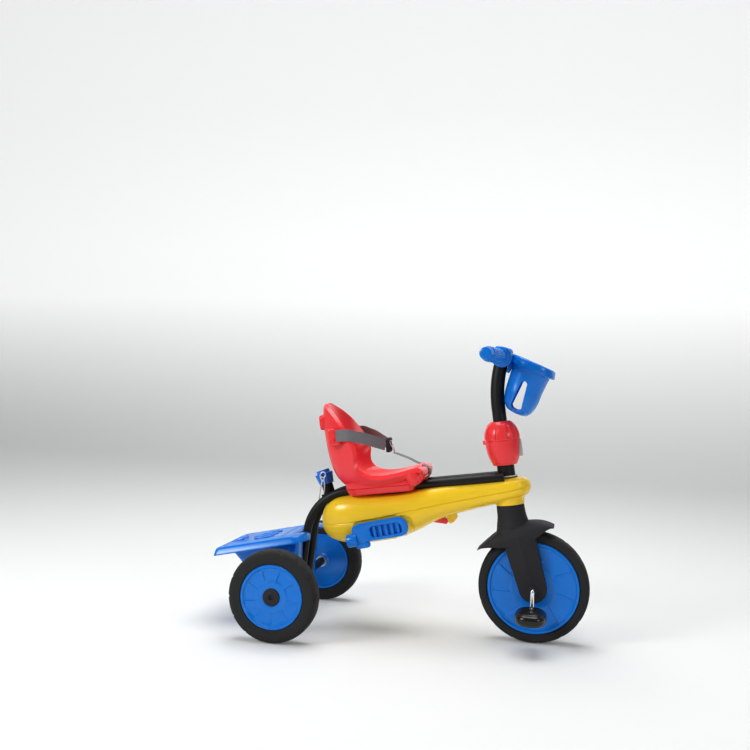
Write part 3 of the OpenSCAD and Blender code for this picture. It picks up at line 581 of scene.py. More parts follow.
@dataclass(frozen=True)
class Webbing:
    """A woven strap's finish."""

    slot: str = "webbing"
    # The first colour is painted light on the weave's raised ribs; the second is painted shade in its
    # hollows
    light: tuple[float, float, float] = (0.30, 0.29, 0.30)
    dark: tuple[float, float, float] = (0.13, 0.125, 0.13)

    def material(self) -> bpy.types.Material:
        """The webbing as a material, made once.

        Returns:
            The material.
        """
        if self.slot in bpy.data.materials:
            return bpy.data.materials[self.slot]
        made = bpy.data.materials.new(self.slot)
        made.use_nodes = True
        tree = made.node_tree
        shader = tree.nodes["Principled BSDF"]
        weave = add(tree, "ShaderNodeGroup", node_tree=WEBBING)
        # The weave's colours: painted light on its raised ribs and painted shade in its hollows
        weave.inputs["Light"].default_value = (*self.light, 1)
        weave.inputs["Dark"].default_value = (*self.dark, 1)
        bump = add(tree, "ShaderNodeBump", {"Height": weave.outputs["Height"], "Strength": 0.5,
                                            "Distance": 0.0005})
        tree.links.new(weave.outputs["Colour"], shader.inputs["Base Color"])
        tree.links.new(bump.outputs[0], shader.inputs["Normal"])
        shader.inputs["Roughness"].default_value = 0.62
        shader.inputs["Sheen Weight"].default_value = 0.4
        return made


YELLOW = Finish("yellow_shell", (0.93, 0.39, 0.0), 0.36, specular=0.04, grain_scale=1500, grain=0.2,
                wear=0.01, scuff=(0.9, 0.75, 0.3), subsurface=0.05)
RED = Finish("red_plastic", (0.96, 0.012, 0.018), 0.24, specular=0.04, grain=0.2, wear=0.01,
             scuff=(0.9, 0.4, 0.35), subsurface=0.06)
BLUE = Finish("blue_plastic", (0.0, 0.085, 0.42), 0.25, specular=0.03, grain=0.2, wear=0.013,
              scuff=(0.3, 0.5, 0.85), subsurface=0.04)
BLACK_MOULD = Finish("black_plastic", (0.008, 0.0078, 0.0078), 0.32, specular=0.05, grain=0.5, wear=0.02,
                     scuff=(0.12, 0.12, 0.12))
PEDAL_BLACK = Finish("pedal_plastic", (0.012, 0.011, 0.011), 0.2, coat=0.4, wear=0.015,
                     scuff=(0.1, 0.1, 0.1))
PAINT = Finish("black_paint", (0.005, 0.005, 0.0055), 0.14, coat=0.5, grain_scale=400, grain=0.3,
               wear=0.013, scuff=(0.1, 0.1, 0.1), bump=0.06)
ZINC = Finish("zinc", (0.66, 0.66, 0.67), 0.28, metallic=1.0, grain=0.3, wear=0.05,
              scuff=(0.5, 0.5, 0.5))
CHROME = Finish("chrome_rod", (0.78, 0.78, 0.79), 0.12, metallic=1.0, grain=0.1, wear=0.025,
                scuff=(0.5, 0.5, 0.5), bump=0.05)
TYRE = Finish("tyre_rubber", (0.007, 0.007, 0.0072), 0.28, specular=0.05, grain_scale=700, grain=0.8,
              wear=0.037, scuff=(0.09, 0.09, 0.085), bump=0.18)
NYLON = Finish("bush_nylon", (0.02, 0.02, 0.02), 0.45)
BADGE = Finish("badge", (0.42, 0.43, 0.44), 0.3)
STRAP = Webbing()


# ---------------------------------------------------------------- pieces


def piece(name: str, shape: Shape, place: Place, body: Body, finish: Finish | Webbing,
          replaces: Sequence[str] = (), bevel: float = 0.0, sharp: float = 40.0,
          blend: float = 0.0, cutter: Shape | None = None) -> bpy.types.Object:
    """A shape made into a dressed object that rides on a body.

    Args:
        name: The piece's name.
        shape: Its shape, in millimetres of the working frame.
        place: The working frame.
        body: The body that it moves with.
        finish: Its finish.
        replaces: The CAD nodes that it stands for.
        bevel: Width of the rounded edges in millimetres, or 0 for none.
        sharp: The angle in degrees above which an edge stays sharp.
        blend: Size in millimetres of the cells that melt overlapping solids together, or 0.
        cutter: A solid in the same frame that is taken away.

    Returns:
        The object.
    """
    made = solid(name, shape, place)
    if blend:
        modify(made, "REMESH", mode="VOXEL", voxel_size=blend * MM, use_smooth_shade=True)
        modify(made, "SMOOTH", factor=0.5, iterations=6)
    if cutter is not None:
        tool = solid(name + "_cut", cutter, place)
        modify(made, "BOOLEAN", operation="DIFFERENCE", object=tool, solver="EXACT")
        bpy.data.objects.remove(tool)
    if bevel:
        modify(made, "BEVEL", width=bevel * MM, segments=3, limit_method="ANGLE",
               angle_limit=math.radians(32), use_clamp_overlap=True)
        sharp = 60.0
    made.data.polygons.foreach_set("use_smooth", np.ones(len(made.data.polygons), bool))
    made.data.set_sharp_from_angle(angle=math.radians(sharp))
    made.data.materials.clear()
    made.data.materials.append(finish.material())
    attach(made, body.value)
    if replaces:
        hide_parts(*replaces)
    return made


def solid(name: str, shape: Shape, place: Place) -> bpy.types.Object:
    """A shape as a plain object: doubles merged, then faces turned outwards.

    Args:
        name: The object's name.
        shape: The shape, in millimetres.
        place: The frame that its points are given in.

    Returns:
        The new object.
    """
    mesh = bpy.data.meshes.new(name)
    faces = [row for rows in shape.faces for row in rows.tolist()]
    mesh.from_pydata(place.world(shape.points).tolist(), [], faces)
    work = bmesh.new()
    work.from_mesh(mesh)
    bmesh.ops.remove_doubles(work, verts=work.verts, dist=WELD)
    bmesh.ops.recalc_face_normals(work, faces=work.faces)
    work.to_mesh(mesh)
    work.free()
    made = bpy.data.objects.new(name, mesh)
    bpy.context.scene.collection.objects.link(made)
    return made


def modify(target: bpy.types.Object, kind: str, **settings) -> None:
    """A modifier put on and taken into the mesh at once.

    Args:
        target: The object.
        kind: The modifier's type.
        settings: The modifier's values, by name.
    """
    modifier = target.modifiers.new(kind.lower(), kind)
    for key, value in settings.items():
        setattr(modifier, key, value)
    graph = bpy.context.evaluated_depsgraph_get()
    mesh = bpy.data.meshes.new_from_object(target.evaluated_get(graph))
    target.modifiers.clear()
    old, target.data = target.data, mesh
    bpy.data.meshes.remove(old)


def dress(finish: Finish, *nodes: str) -> None:
    """CAD nodes kept as they are, with a finish in place of their plain one.

    Args:
        finish: The finish.
        nodes: The names of the frame's nodes.
    """
    for name in nodes:
        node = frame["nodes"][name]
        node.data.materials.clear()
        node.data.materials.append(finish.material())


@dataclass
class Studio:
    """The plain pale floor, the soft lights and the camera."""

    floor_tone: float = 0.73
    floor_glow: float = 1.0
    # The glow rises from low on the floor to high at its height on the wall
    glow_low: float = 0.07
    glow_high: float = 0.50
    glow_height: float = 1.1
    floor_reach: float = 6.0
    floor_half_span: float = 8.0
    bend_start: float = 3.2
    bend_radius: float = 1.5
    sky_tone: tuple[float, float, float, float] = (0.98, 0.99, 1.0, 1)
    sky_strength: float = 0.2
    # Each light's name, place, aim, side in metres and watts
    lights: tuple = (("overhead", (0.0, 0.3, 3.0), (0, 0, 0.2), 2.2, 64),
                     ("key", (-2.2, -2.2, 1.7), (0, 0, 0.3), 1.0, 44),
                     ("front_fill", (2.3, -1.6, 1.2), (0.1, 0, 0.3), 0.7, 9))
    camera_at: tuple[float, float, float] = (0.3997, -2.2627, 0.6133)
    yaw: float = 13.92
    pitch: float = -1.96
    roll: float = 1.89
    lens: float = 46.03
    shift: tuple[float, float] = (0.0426, -0.055)

    def camera(self) -> None:
        """The camera: yawed about Z, pitched down, then rolled about its own axis."""
        made = bpy.data.objects.new("camera", bpy.data.cameras.new("camera"))
        bpy.context.scene.collection.objects.link(made)
        turn = (Matrix.Rotation(math.radians(self.yaw), 4, "Z")
                @ Matrix.Rotation(math.radians(90 - self.pitch), 4, "X")
                @ Matrix.Rotation(math.radians(self.roll), 4, "Z"))
        made.matrix_world = Matrix.Translation(self.camera_at) @ turn
        made.data.lens = self.lens
        made.data.shift_x, made.data.shift_y = self.shift
        made.data.clip_end = 50
        bpy.context.scene.camera = made

    def floor(self) -> None:
        """A pale sweep: flat floor, then a quarter round up into a wall."""
        bend = np.radians(np.linspace(-90, 0, 24))
        start, radius, reach = self.bend_start, self.bend_radius, self.floor_reach
        turn = np.stack([start + radius * np.cos(bend), radius + radius * np.sin(bend)], -1)
        run = np.concatenate([[[-reach, 0.0]], turn, [[start + radius, reach]]])
        x = np.array([-self.floor_half_span, self.floor_half_span])
        grid = np.stack(np.broadcast_arrays(x[None, :], run[:, :1], run[:, 1:]), axis=-1)
        made = solid("floor", lattice(grid / MM), Place((0, 0, 0)))
        made.data.polygons.foreach_set("use_smooth", np.ones(len(made.data.polygons), bool))
        finish = bpy.data.materials.new("floor")
        finish.use_nodes = True
        shader = finish.node_tree.nodes["Principled BSDF"]
        shader.inputs["Base Color"].default_value = (self.floor_tone * 0.985, self.floor_tone,
                                                     self.floor_tone * 0.995, 1)
        tree = finish.node_tree
        place = add(tree, "ShaderNodeTexCoord")
        split = add(tree, "ShaderNodeSeparateXYZ", {"Vector": place.outputs["Object"]})
        rise = add(tree, "ShaderNodeMapRange", {"Value": split.outputs["Z"], "From Min": 0.0,
                                                "From Max": self.glow_height,
                                                "To Min": self.glow_low, "To Max": self.glow_high})
        tree.links.new(rise.outputs["Result"], shader.inputs["Emission Color"])
        shader.inputs["Emission Strength"].default_value = self.floor_glow
        shader.inputs["Roughness"].default_value = 0.7
        shader.inputs["Specular IOR Level"].default_value = 0.15
        made.data.materials.append(finish)

    def light(self, name: str, at: tuple, aim: tuple, size: float, power: float) -> None:
        """A square soft light at a place, aimed at a point.

        Args:
            name: The light's name.
            at: Where the light stands.
            aim: The point that it shines at.
            size: The square's side, in metres.
            power: Its power, in watts.
        """
        made = bpy.data.objects.new(name, bpy.data.lights.new(name, "AREA"))
        bpy.context.scene.collection.objects.link(made)
        made.data.size, made.data.energy = size, power
        made.matrix_world = (Matrix.Translation(at)
                             @ (Vector(aim) - Vector(at)).to_track_quat("-Z", "Y").to_matrix().to_4x4())

    def build(self) -> None:
        """The stage, the camera first."""
        self.camera()
        self.floor()
        world = bpy.data.worlds.new("studio")
        bpy.context.scene.world = world
        world.use_nodes = True
        world.node_tree.nodes["Background"].inputs["Color"].default_value = self.sky_tone
        world.node_tree.nodes["Background"].inputs["Strength"].default_value = self.sky_strength
        for lamp in self.lights:
            self.light(*lamp)
        bpy.context.scene.view_settings.view_transform = "Standard"
        bpy.context.scene.view_settings.look = "Medium High Contrast"


@dataclass
class FrameTubes:
    """Painted tubes and zinc hardware, kept from the frame's own nodes."""

    painted: tuple[str, ...] = ("frame_tube_right", "frame_tube_left", "head_tube", "axle_tube",
                                "socket_tube", "socket_bracket", "steering_tube", "handlebar_bar")
    plated: tuple[str, ...] = ("rear_axle", "axle_nuts", "lid_hinge_pins", "hinge_pins",
                               "collar_bolts", "belt_screws")
    bushes: tuple[str, ...] = ("head_bushes", "fork_bushes", "rear_bush_right", "rear_bush_left")

    def build(self) -> None:
        """The finishes of the kept nodes."""
        dress(PAINT, *self.painted)
        dress(ZINC, *self.plated)
        dress(NYLON, *self.bushes)


@dataclass
class BodyShell:
    """The yellow body: an upper shell that laps over the lower one along a curved seam."""

    half_width: float = 66.0
    wall: float = 3.0
    rows: int = 260
    columns: int = 72
    # Along the head's X: floor, seam and top heights, and share of the half width
    stations: tuple = (
        (-449, -72, -66, -58, 0.10), (-448, -79, -66, -50, 0.27), (-444, -88, -66, -38, 0.45),
        (-436, -98, -66, -25, 0.62), (-424, -107, -66, -14, 0.77), (-405, -114, -66, -5, 0.90),
        (-380, -119, -65, -2, 0.975), (-350, -121, -62.5, -3, 1), (-315, -120, -59.5, -6, 1),
        (-280, -117, -55.5, -8, 1), (-245, -110, -51, -8, 1), (-215, -100, -47.5, -5, 0.985),
        (-188, -89, -44, -1, 0.93), (-160, -79, -41, 1, 0.85), (-130, -72, -38.5, 1.5, 0.77),
        (-95, -66, -35.5, 1.5, 0.71), (-55, -60, -31.5, 1.5, 0.68), (-20, -55, -28, 2, 0.68),
        (8, -50, -25, 2, 0.68), (28, -46, -22.5, 1, 0.62), (40, -41.5, -20.5, -2, 0.48),
        (47, -36, -19.5, -6, 0.32), (51, -29, -19, -11, 0.14), (52, -22, -19, -15, 0.04))
    # The footrest's pocket in the lower shell: middle in X and Z, half sizes, depth
    pocket: tuple = (-291, -94, 70, 36, 5.0)

    def path(self) -> Array:
        """The stations joined by a smooth curve: rows of x, floor, seam, top and half width.

        Returns:
            The stations' rows, at even steps.
        """
        s = smooth(self.stations, self.rows)
        s[:, 4] *= self.half_width
        return s

    def half(self, upper: bool, inner: float = 0.0) -> Array:
        """One shell's surface: a superellipse arch from the seam, squarer above than below.

        Args:
            upper: Whether the arch rises from the seam or hangs from it.
            inner: How far the surface is drawn inwards.

        Returns:
            The grid of points, one arch in each row.
        """
        s = self.path()[:, None, :]
        arch = power_circle(self.columns, 3.4 if upper else 2.7, 0, 180)[None]
        reach = np.abs(s[..., 3] - s[..., 2] if upper else s[..., 2] - s[..., 1]) - inner
        width = np.maximum(s[..., 4] - inner - (0 if upper else 0.3), 0.3)
        y = width * arch[..., 0]
        z = s[..., 2] + (1 if upper else -1) * np.maximum(reach, 0.3) * arch[..., 1]
        if upper:
            y = y * (1 - 0.05 * arch[..., 1] ** 2)
            z = z - 1.2 * band(np.abs(y), 0, 18, 8) * band(s[..., 0], -200, -20, 30)
        x = s[..., 0] + 0 * y
        if not upper:
            drop = s[..., 2] - z
            y = y - np.sign(y) * (2.3 * (1 - ramp(drop, 0.6, 3.0))) * (width > 6)
            middle_x, middle_z, half_x, half_z, depth = self.pocket
            reach = np.abs((x - middle_x) / half_x) ** 5 + np.abs((z - middle_z) / half_z) ** 5
            side = np.clip(np.abs(arch[..., 0]) * 3 - 0.6, 0, 1)
            y = y - np.sign(y) * depth * (1 - ramp(reach, 0.7, 1.1)) * side
        return np.stack([x, y, z], axis=-1)

    def shell(self, upper: bool) -> Shape:
        """A shell with its wall: the outer arches, then the inner ones back."""
        outer, inner = self.half(upper), self.half(upper, self.wall)[:, ::-1]
        return lattice(np.concatenate([outer, inner], axis=1), wrap_columns=True)

    def nose_collar(self) -> Shape:
        """The flared collar under the nose, round the steering tube."""
        profile = smooth([(22, -38), (30, -40), (36, -44), (33.6, -50), (33, -58), (32.4, -60),
                          (30, -60.6), (24, -60.6)], 40)
        return upright(turned(profile, 72)).moved()

    def build(self) -> None:
        """The shells, the collar and the bars of the footrests."""
        upper = piece("body_upper_shell", self.shell(True), HEAD, Body.CHASSIS, YELLOW,
                      ["body_upper"], sharp=50)
        lower = piece("body_lower_shell", self.shell(False), HEAD, Body.CHASSIS, YELLOW,
                      ["body_lower"], sharp=50)
        piece("nose_collar", self.nose_collar(), HEAD, Body.CHASSIS, YELLOW)
        dress(YELLOW, "footrest_bars")
        log.info("%s and %s", upper.name, lower.name)


@dataclass
class Seat:
    """The red bucket seat on its skirt, with the anchors of its belt."""

    half_width: float = 84.0
    rows: int = 170
    columns: int = 56
    # Along the middle, from under the front roll and up the back: x, z, direction towards the
    # rider, share of the half width, height of the wings, thickness, roundness of the flank,
    # and how far the sides sweep back
    stations: tuple = (
        (-212, 6, -84, 0.88, 0, 14, 4, 0), (-200, 8, -66, 0.89, 0, 17, 4, 1),
        (-188.5, 15, -42, 0.90, 0, 19, 4, 2), (-181, 25, -14, 0.905, 0, 19, 4, 3),
        (-178, 34, 14, 0.91, 0, 19, 4, 4), (-181, 42.5, 44, 0.92, 0, 18, 4, 3),
        (-190, 46.5, 72, 0.935, 0.3, 19, 4, 2), (-206, 45.5, 85, 0.95, 1.5, 24, 4, 1),
        (-227, 39.5, 91, 0.97, 4, 27, 4, 0), (-254, 32, 93, 0.985, 7.5, 26, 4, 0),
        (-285, 27.5, 93, 1, 11, 26, 4, 0), (-315, 28, 86, 1, 17, 28, 4, 0),
        (-342, 36, 66, 1, 27, 32, 4, 0), (-363, 53, 42, 1, 40, 35, 4, 0),
        (-377, 76, 22, 1, 50, 31, 4, 0), (-386, 104, 10, 0.99, 53, 28, 3.6, 0),
        (-391, 132, 5, 0.96, 48, 26, 3.2, 0), (-394, 158, 3, 0.89, 37, 25, 3, 0),
        (-396, 180, 2, 0.78, 25, 23, 2.8, 0), (-398, 197, 2, 0.63, 13, 20, 2.6, 0),
        (-401, 209, 2, 0.44, 5, 16, 2.4, 0), (-405, 216, 2, 0.22, 3, 10, 2.2, 0),
        (-408, 218, 2, 0.06, 1, 4, 2, 0))

    def surface(self) -> Array:
        """The seat's closed section along its middle line.

        At the share v across, the seat surface stands wing * |v|^2.6 towards the rider. The flank
        starts the thickness behind it and reaches the wing as |v|^p. A half circle of rim
        joins the two.

        Returns:
            The grid of points, one station in each row.
        """
        s = smooth(self.stations, self.rows)[:, None, :]
        v = np.sin(np.radians(np.linspace(90, -90, self.columns)))[None]
        width = s[..., 3] * self.half_width
        rim = np.minimum(4.5, s[..., 5] * 0.4)
        front = s[..., 4] * np.abs(v) ** 2.6
        back = -s[..., 5] + (s[..., 4] + s[..., 5] - 2 * rim) * np.abs(v) ** s[..., 6]
        across = np.concatenate([v * (width - rim), -v * width], axis=1)
        off = np.concatenate([front, back], axis=1)
        a = np.radians(s[..., 2])
        back_sweep = s[..., 7] * np.abs(np.concatenate([v, -v], axis=1)) ** 2.6
        return np.stack([s[..., 0] + off * np.cos(a) - back_sweep, across,
                         s[..., 1] + off * np.sin(a)], axis=-1)

    def skirt(self) -> Shape:
        """The skirt: a rounded outline that narrows a little upwards.

        Returns:
            The shape, in millimetres.
        """
        corners = [(-374, -70), (-212, -66), (-205, -40), (-205, 40), (-212, 66), (-374, 70)]
        rings = [(rounded(corners, [26, 18, 20, 20, 18, 26], g), z)
                 for g, z in ((16, -4), (8, -4.4), (6.4, -3), (5, 0), (1.6, 8), (1.2, 9.6), (2.6, 10),
                              (3, 10.8), (2.6, 11.6), (0.8, 12), (0.4, 14), (2, 26), (20, 27))]
        return stacked(rings)

    def back_box(self) -> Shape:
        """The rounded box on the back of the seat, where the belt's buckle is stowed."""
        return pillow((20, 70, 38), 6, 5).moved(-416.5, 0, 173)

    def front_roll(self) -> Shape:
        """The full-width roll under the front lip, which fills the lip's flanks."""
        return pillow((48, 161, 38), 3, 6).leaned(30).moved(-206.5, 0, 27)

    def anchor(self, side: Side) -> Shape:
        """The raised pad that holds a belt's end, with a round top and a flared foot.

        Args:
            side: The side of the tricycle.

        Returns:
            The shape, in millimetres.
        """
        corners = [(-14, -22), (14, -22), (11, 4), (6, 20), (-8, 20), (-12, 4)]
        rings = [(rounded(corners, [4, 4, 10, 9, 9, 10], g), y)
                 for g, y in ((0, -14), (0, 1.2), (0.8, 2.6), (2.4, 3.4), (6, 3.6))]
        pad = stacked(rings, Plane.SIDE).leaned(8).moved(-383, 82, 138)
        screw = turned([(0, 1.2), (2.2, 1.2), (2.6, 2.2), (4.4, 2.4), (5, 1.6), (5.2, -2), (0, -2)],
                       32, False).moved(-384, 85.6, 131)
        return (pad + screw).flipped(side)

    def build(self) -> None:
        """The shell, skirt, box and anchors."""
        shell = lattice(self.surface(), wrap_columns=True, ends=(True, True))
        piece("seat_front_roll", self.front_roll(), HEAD, Body.CHASSIS, RED, sharp=40)
        piece("seat_bucket", shell + self.back_box(), HEAD, Body.CHASSIS, RED, ["seat_shell"],
              sharp=55)
        piece("seat_skirt", self.skirt(), HEAD, Body.CHASSIS, RED, ["seat_base"], sharp=50)
        piece("belt_pads", self.anchor(Side.RIGHT) + self.anchor(Side.LEFT), HEAD, Body.CHASSIS,
              RED, ["belt_anchors", "belt_screws"], sharp=50)
        log.info("seat")


@dataclass
class Wheel:
    """A moulded wheel: a foam tyre on two discs, with fan steps on the outer one."""

    radius: float
    width: float
    disc_radius: float
    fans: int = 9
    step: float = 1.7
    steps: int = 288

    def tyre(self) -> Shape:
        """The tyre: a round-shouldered section with slanted nicks along both shoulders.

        Returns:
            The shape, in millimetres.
        """
        r, w, seat = self.radius, self.width / 2, self.disc_radius
        outline = smooth([(seat, -w * 0.86), (seat + 3, -w * 0.97), (r - 17, -w), (r - 9, -w * 0.985),
                          (r - 3.2, -w * 0.87), (r - 0.6, -w * 0.62), (r, -w * 0.3), (r, 0),
                          (r, w * 0.3), (r - 0.6, w * 0.62), (r - 3.2, w * 0.87), (r - 9, w * 0.985),
                          (r - 17, w), (seat + 3, w * 0.97), (seat, w * 0.86)], 72)

        def nicks(a: Array, radius: Array, y: Array) -> tuple[Array, Array]:
            """Nicks of 2.4 mm where the slanted angle comes round, between the tread and the wall.

            Args:
                a: The angle round the axis, in radians.
                radius: The radius there.
                y: The place along the axis.

            Returns:
                The new radius and place.
            """
            count = 14
            phase = (a * count / (2 * np.pi) + y / self.width * 0.9) % 1.0
            mask = band(phase, 0.38, 0.52, 0.05) * band(np.abs(y), w * 0.42, w * 0.92, 2.5)
            mask = mask * ramp(radius, r - 8, r - 5)
            ridge = 0.5 * band(radius, r - 15.6, r - 14.4, 0.9)
            return radius - 2.4 * mask, y + np.sign(y) * ridge * (np.abs(y) > w * 0.9)

        return turned(outline, self.steps, relief=nicks)

    def outer_disc(self, boss: float, hole: float) -> Shape:
        """The outer disc: raised lip, a face with fan steps, and a recess round the hub.

        In the fan band each sector rises evenly over its angle and drops at its end.

        Args:
            boss: Radius where the face begins.
            hole: Radius of the hub's hole.

        Returns:
            The shape, in millimetres.
        """
        r, w = self.disc_radius, self.width / 2
        face = np.linspace(boss + 4, r - 8.5, 26)
        outline = ([(hole, w - 9), (hole, w - 3), (boss, w - 3), (boss + 1, w - 2.6)]
                   + [(x, w - 2.6) for x in face]
                   + [(r - 7.6, w - 2.4), (r - 6.6, w - 0.8), (r - 5.4, w + 0.1), (r - 3, w + 0.4),
                      (r - 1, w - 0.1), (r, w - 1.4), (r, 2), (r - 3, 2), (r - 4, w - 7), (boss, w - 7)])

        def fan(a: Array, radius: Array, y: Array) -> tuple[Array, Array]:
            """The face lowered by the sector's share of its angle inside the fan band.

            Args:
                a: The angle round the axis, in radians.
                radius: The radius there.
                y: The place along the axis.

            Returns:
                The new radius and place.
            """
            share = (self.fans * a / (2 * np.pi) + 0.0035 * radius) % 1.0
            on = band(radius, r * 0.5, r - 11, 4) * (np.abs(y - (w - 2.6)) < 0.01)
            return radius, y - self.step * share * on

        return turned(outline, self.steps, relief=fan)

    def inner_disc(self, hole: float) -> Shape:
        """The inner disc: a shallow dish with a lip and a boss round the axle.

        Args:
            hole: Radius of the axle's hole.

        Returns:
            The shape, in millimetres.
        """
        r, w = self.disc_radius, self.width / 2
        return turned([(hole, -w + 1), (hole + 6, -w + 1), (hole + 8, -w + 2.4), (hole + 10, -w + 5),
                       (r - 9, -w + 5.5), (r - 7, -w + 4), (r - 6, -w + 1.4), (r - 4, -w + 0.6),
                       (r - 1, -w + 1), (r, -w + 2.4), (r, 1), (r - 3, 1), (r - 4, -w + 9),
                       (hole, -w + 9)], self.steps // 2)


@dataclass
class RearWheels:
    """The two rear wheels with their hub caps."""

    wheel: Wheel = field(default_factory=lambda: Wheel(101.5, 45.5, 71.0))
    cap_radius: float = 19.5

    def cap(self) -> Shape:
        """The hub cap: a low dome with a hexagonal socket in the middle.

        Returns:
            The shape, in millimetres.
        """
        top = self.wheel.width / 2 - 0.6
        radii = np.concatenate([np.linspace(0.2, 9, 30), np.linspace(10, self.cap_radius - 1.6, 8)])
        outline = ([(r, top + 0.5 - 0.5 * (r / self.cap_radius) ** 2) for r in radii]
                   + [(self.cap_radius - 0.5, top - 0.5), (self.cap_radius, top - 1.4),
                      (self.cap_radius, top - 2.6), (self.cap_radius - 2, top - 6)])

        def socket(a: Array, radius: Array, y: Array) -> tuple[Array, Array]:
            """A hexagon: the radius times cos of the angle from its nearest flat's middle.

            Args:
                a: The angle round the axis, in radians.
                radius: The radius there.
                y: The place along the axis.

            Returns:
                The new radius and place.
            """
            flat = radius * np.cos((a + np.pi / 6) % (np.pi / 3) - np.pi / 6)
            ring = band(flat, 6.6, 7.6, 0.6) * 0.4
            return radius, y - 3.2 * (1 - ramp(flat, 4.4, 5.2)) * (y > top - 1) - ring * (y > top - 1)

        return turned(outline, 96, False, socket)

    def build(self) -> None:
        """Both wheels, the right one as the mirror image of the left."""
        for side, body in ((Side.RIGHT, Body.REAR_RIGHT), (Side.LEFT, Body.REAR_LEFT)):
            name = side.word
            x, y, z = JOINTS[f"rear_wheel_{name}_spin"]["pos_m"]
            low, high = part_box(f"rear_tyre_{name}")
            place = Place((x, (low[1] + high[1]) / 2, z))
            piece(f"rear_tyre_{name}_foam", self.wheel.tyre().flipped(side), place, body, TYRE,
                  [f"rear_tyre_{name}"], sharp=60)
            piece(f"rear_disc_{name}_face", self.wheel.outer_disc(19.7, 12).flipped(side), place,
                  body, BLUE, [f"rear_disc_{name}"], sharp=28)
            piece(f"rear_inner_disc_{name}_face", self.wheel.inner_disc(10).flipped(side), place,
                  body, BLUE, [f"rear_inner_disc_{name}"], sharp=40)
            piece(f"hub_cap_{name}_dome", self.cap().flipped(side), place, body, BLACK_MOULD,
                  [f"hub_cap_{name}"], sharp=40)
        log.info("rear wheels")


@dataclass
class FrontWheel:
    """The front wheel, driven by its cranks."""

    wheel: Wheel = field(default_factory=lambda: Wheel(125.0, 52.0, 103.0, step=1.9))
    crank_radius: float = 5.0
    crank_throw: float = 45.0
    crank_y: float = 54.0
    pedal_in: float = 63.0
    pedal_length: float = 92.0
    pedal_width: float = 69.0
    pedal_height: float = 37.0

    def crank(self) -> Shape:
        """The bent rod: through the wheel, down one side and up the other, with round bends.

        Known fault: the straight parts run along the sweep's own reference direction, where its
        points are not numbers.

        Returns:
            The shape, in millimetres.
        """
        y, t, end, soft = self.crank_y, self.crank_throw, self.pedal_in + self.pedal_length - 8, 6.0
        half = [(0, 0, 0), (0, y - 14, 0), (0, y - soft, 0), (0, y - 1.5, 1.5), (0, y, soft),
                (0, y, t - soft), (0, y + 1.5, t - 1.5), (0, y + soft, t), (0, y + 20, t), (0, end, t)]
        left = np.array(half, float)
        path = smooth(np.vstack([(left * (1, -1, -1))[::-1], left[1:]]), 240)
        return rod(path, self.crank_radius)

    def boss(self, sign: int) -> Shape:
        """The collar pressed on the rod beside the fork."""
        return turned([(4.8, 45.5 * sign), (9.5, 45.5 * sign), (10, 46.2 * sign), (9.4, 49 * sign),
                       (7, 50 * sign), (4.8, 50 * sign)], 48)

    def pedal(self, side: Side) -> Shape:
        """A pedal: a rounded block with a flat side band and ribs across both treads.

        Args:
            side: The side of the tricycle.

        Returns:
            The shape, in millimetres.
        """
        w, length, h = self.pedal_width, self.pedal_length, self.pedal_height
        half = power_circle(61, 2.5, -90, 180)
        ring = power_circle(120, 2.8)
        x = half[:, None, 0] * ring[None, :, 0] * w / 2
        y = half[:, None, 0] * ring[None, :, 1] * length / 2
        z = half[:, None, 1] * h / 2 + 0 * x
        tread = np.clip((np.abs(z) - h * 0.36) / (h * 0.1), 0, 1)
        z = z - np.sign(z) * tread * 1.1 * band((y / 9.0) % 1.0, 0.35, 0.65, 0.2)
        groove = 1.2 * band(np.abs(z), h * 0.26, h * 0.31, 0.8)
        block = lattice(np.stack([x * (1 - groove / w * 2), y * (1 - groove / length * 2), z], -1),
                        wrap_columns=True)
        sign = side.value
        return block.moved(0, sign * (self.pedal_in + length / 2), sign * self.crank_throw)

    def build(self) -> None:
        """The tyre, the discs, the crank and the pedals."""
        piece("front_tyre_foam", self.wheel.tyre(), FRONT, Body.FRONT_WHEEL, TYRE, ["front_tyre"],
              sharp=60)
        for side in Side:
            piece(f"front_disc_{side.word}_face", self.wheel.outer_disc(16, 5.2).flipped(side),
                  FRONT, Body.FRONT_WHEEL, BLUE, [f"front_disc_{side.word}"], sharp=28)
            body = Body.PEDAL_RIGHT if side is Side.RIGHT else Body.PEDAL_LEFT
            piece(f"pedal_{side.word}_block", self.pedal(side), FRONT, body, PEDAL_BLACK,
                  [f"pedal_{side.word}"], sharp=40)
        piece("crank_rod", self.crank(), FRONT, Body.FRONT_WHEEL, CHROME, ["crank_axle"], sharp=40)
        piece("crank_collars", self.boss(1) + self.boss(-1), FRONT, Body.FRONT_WHEEL, BLACK_MOULD,
              sharp=40)
        log.info("front wheel")


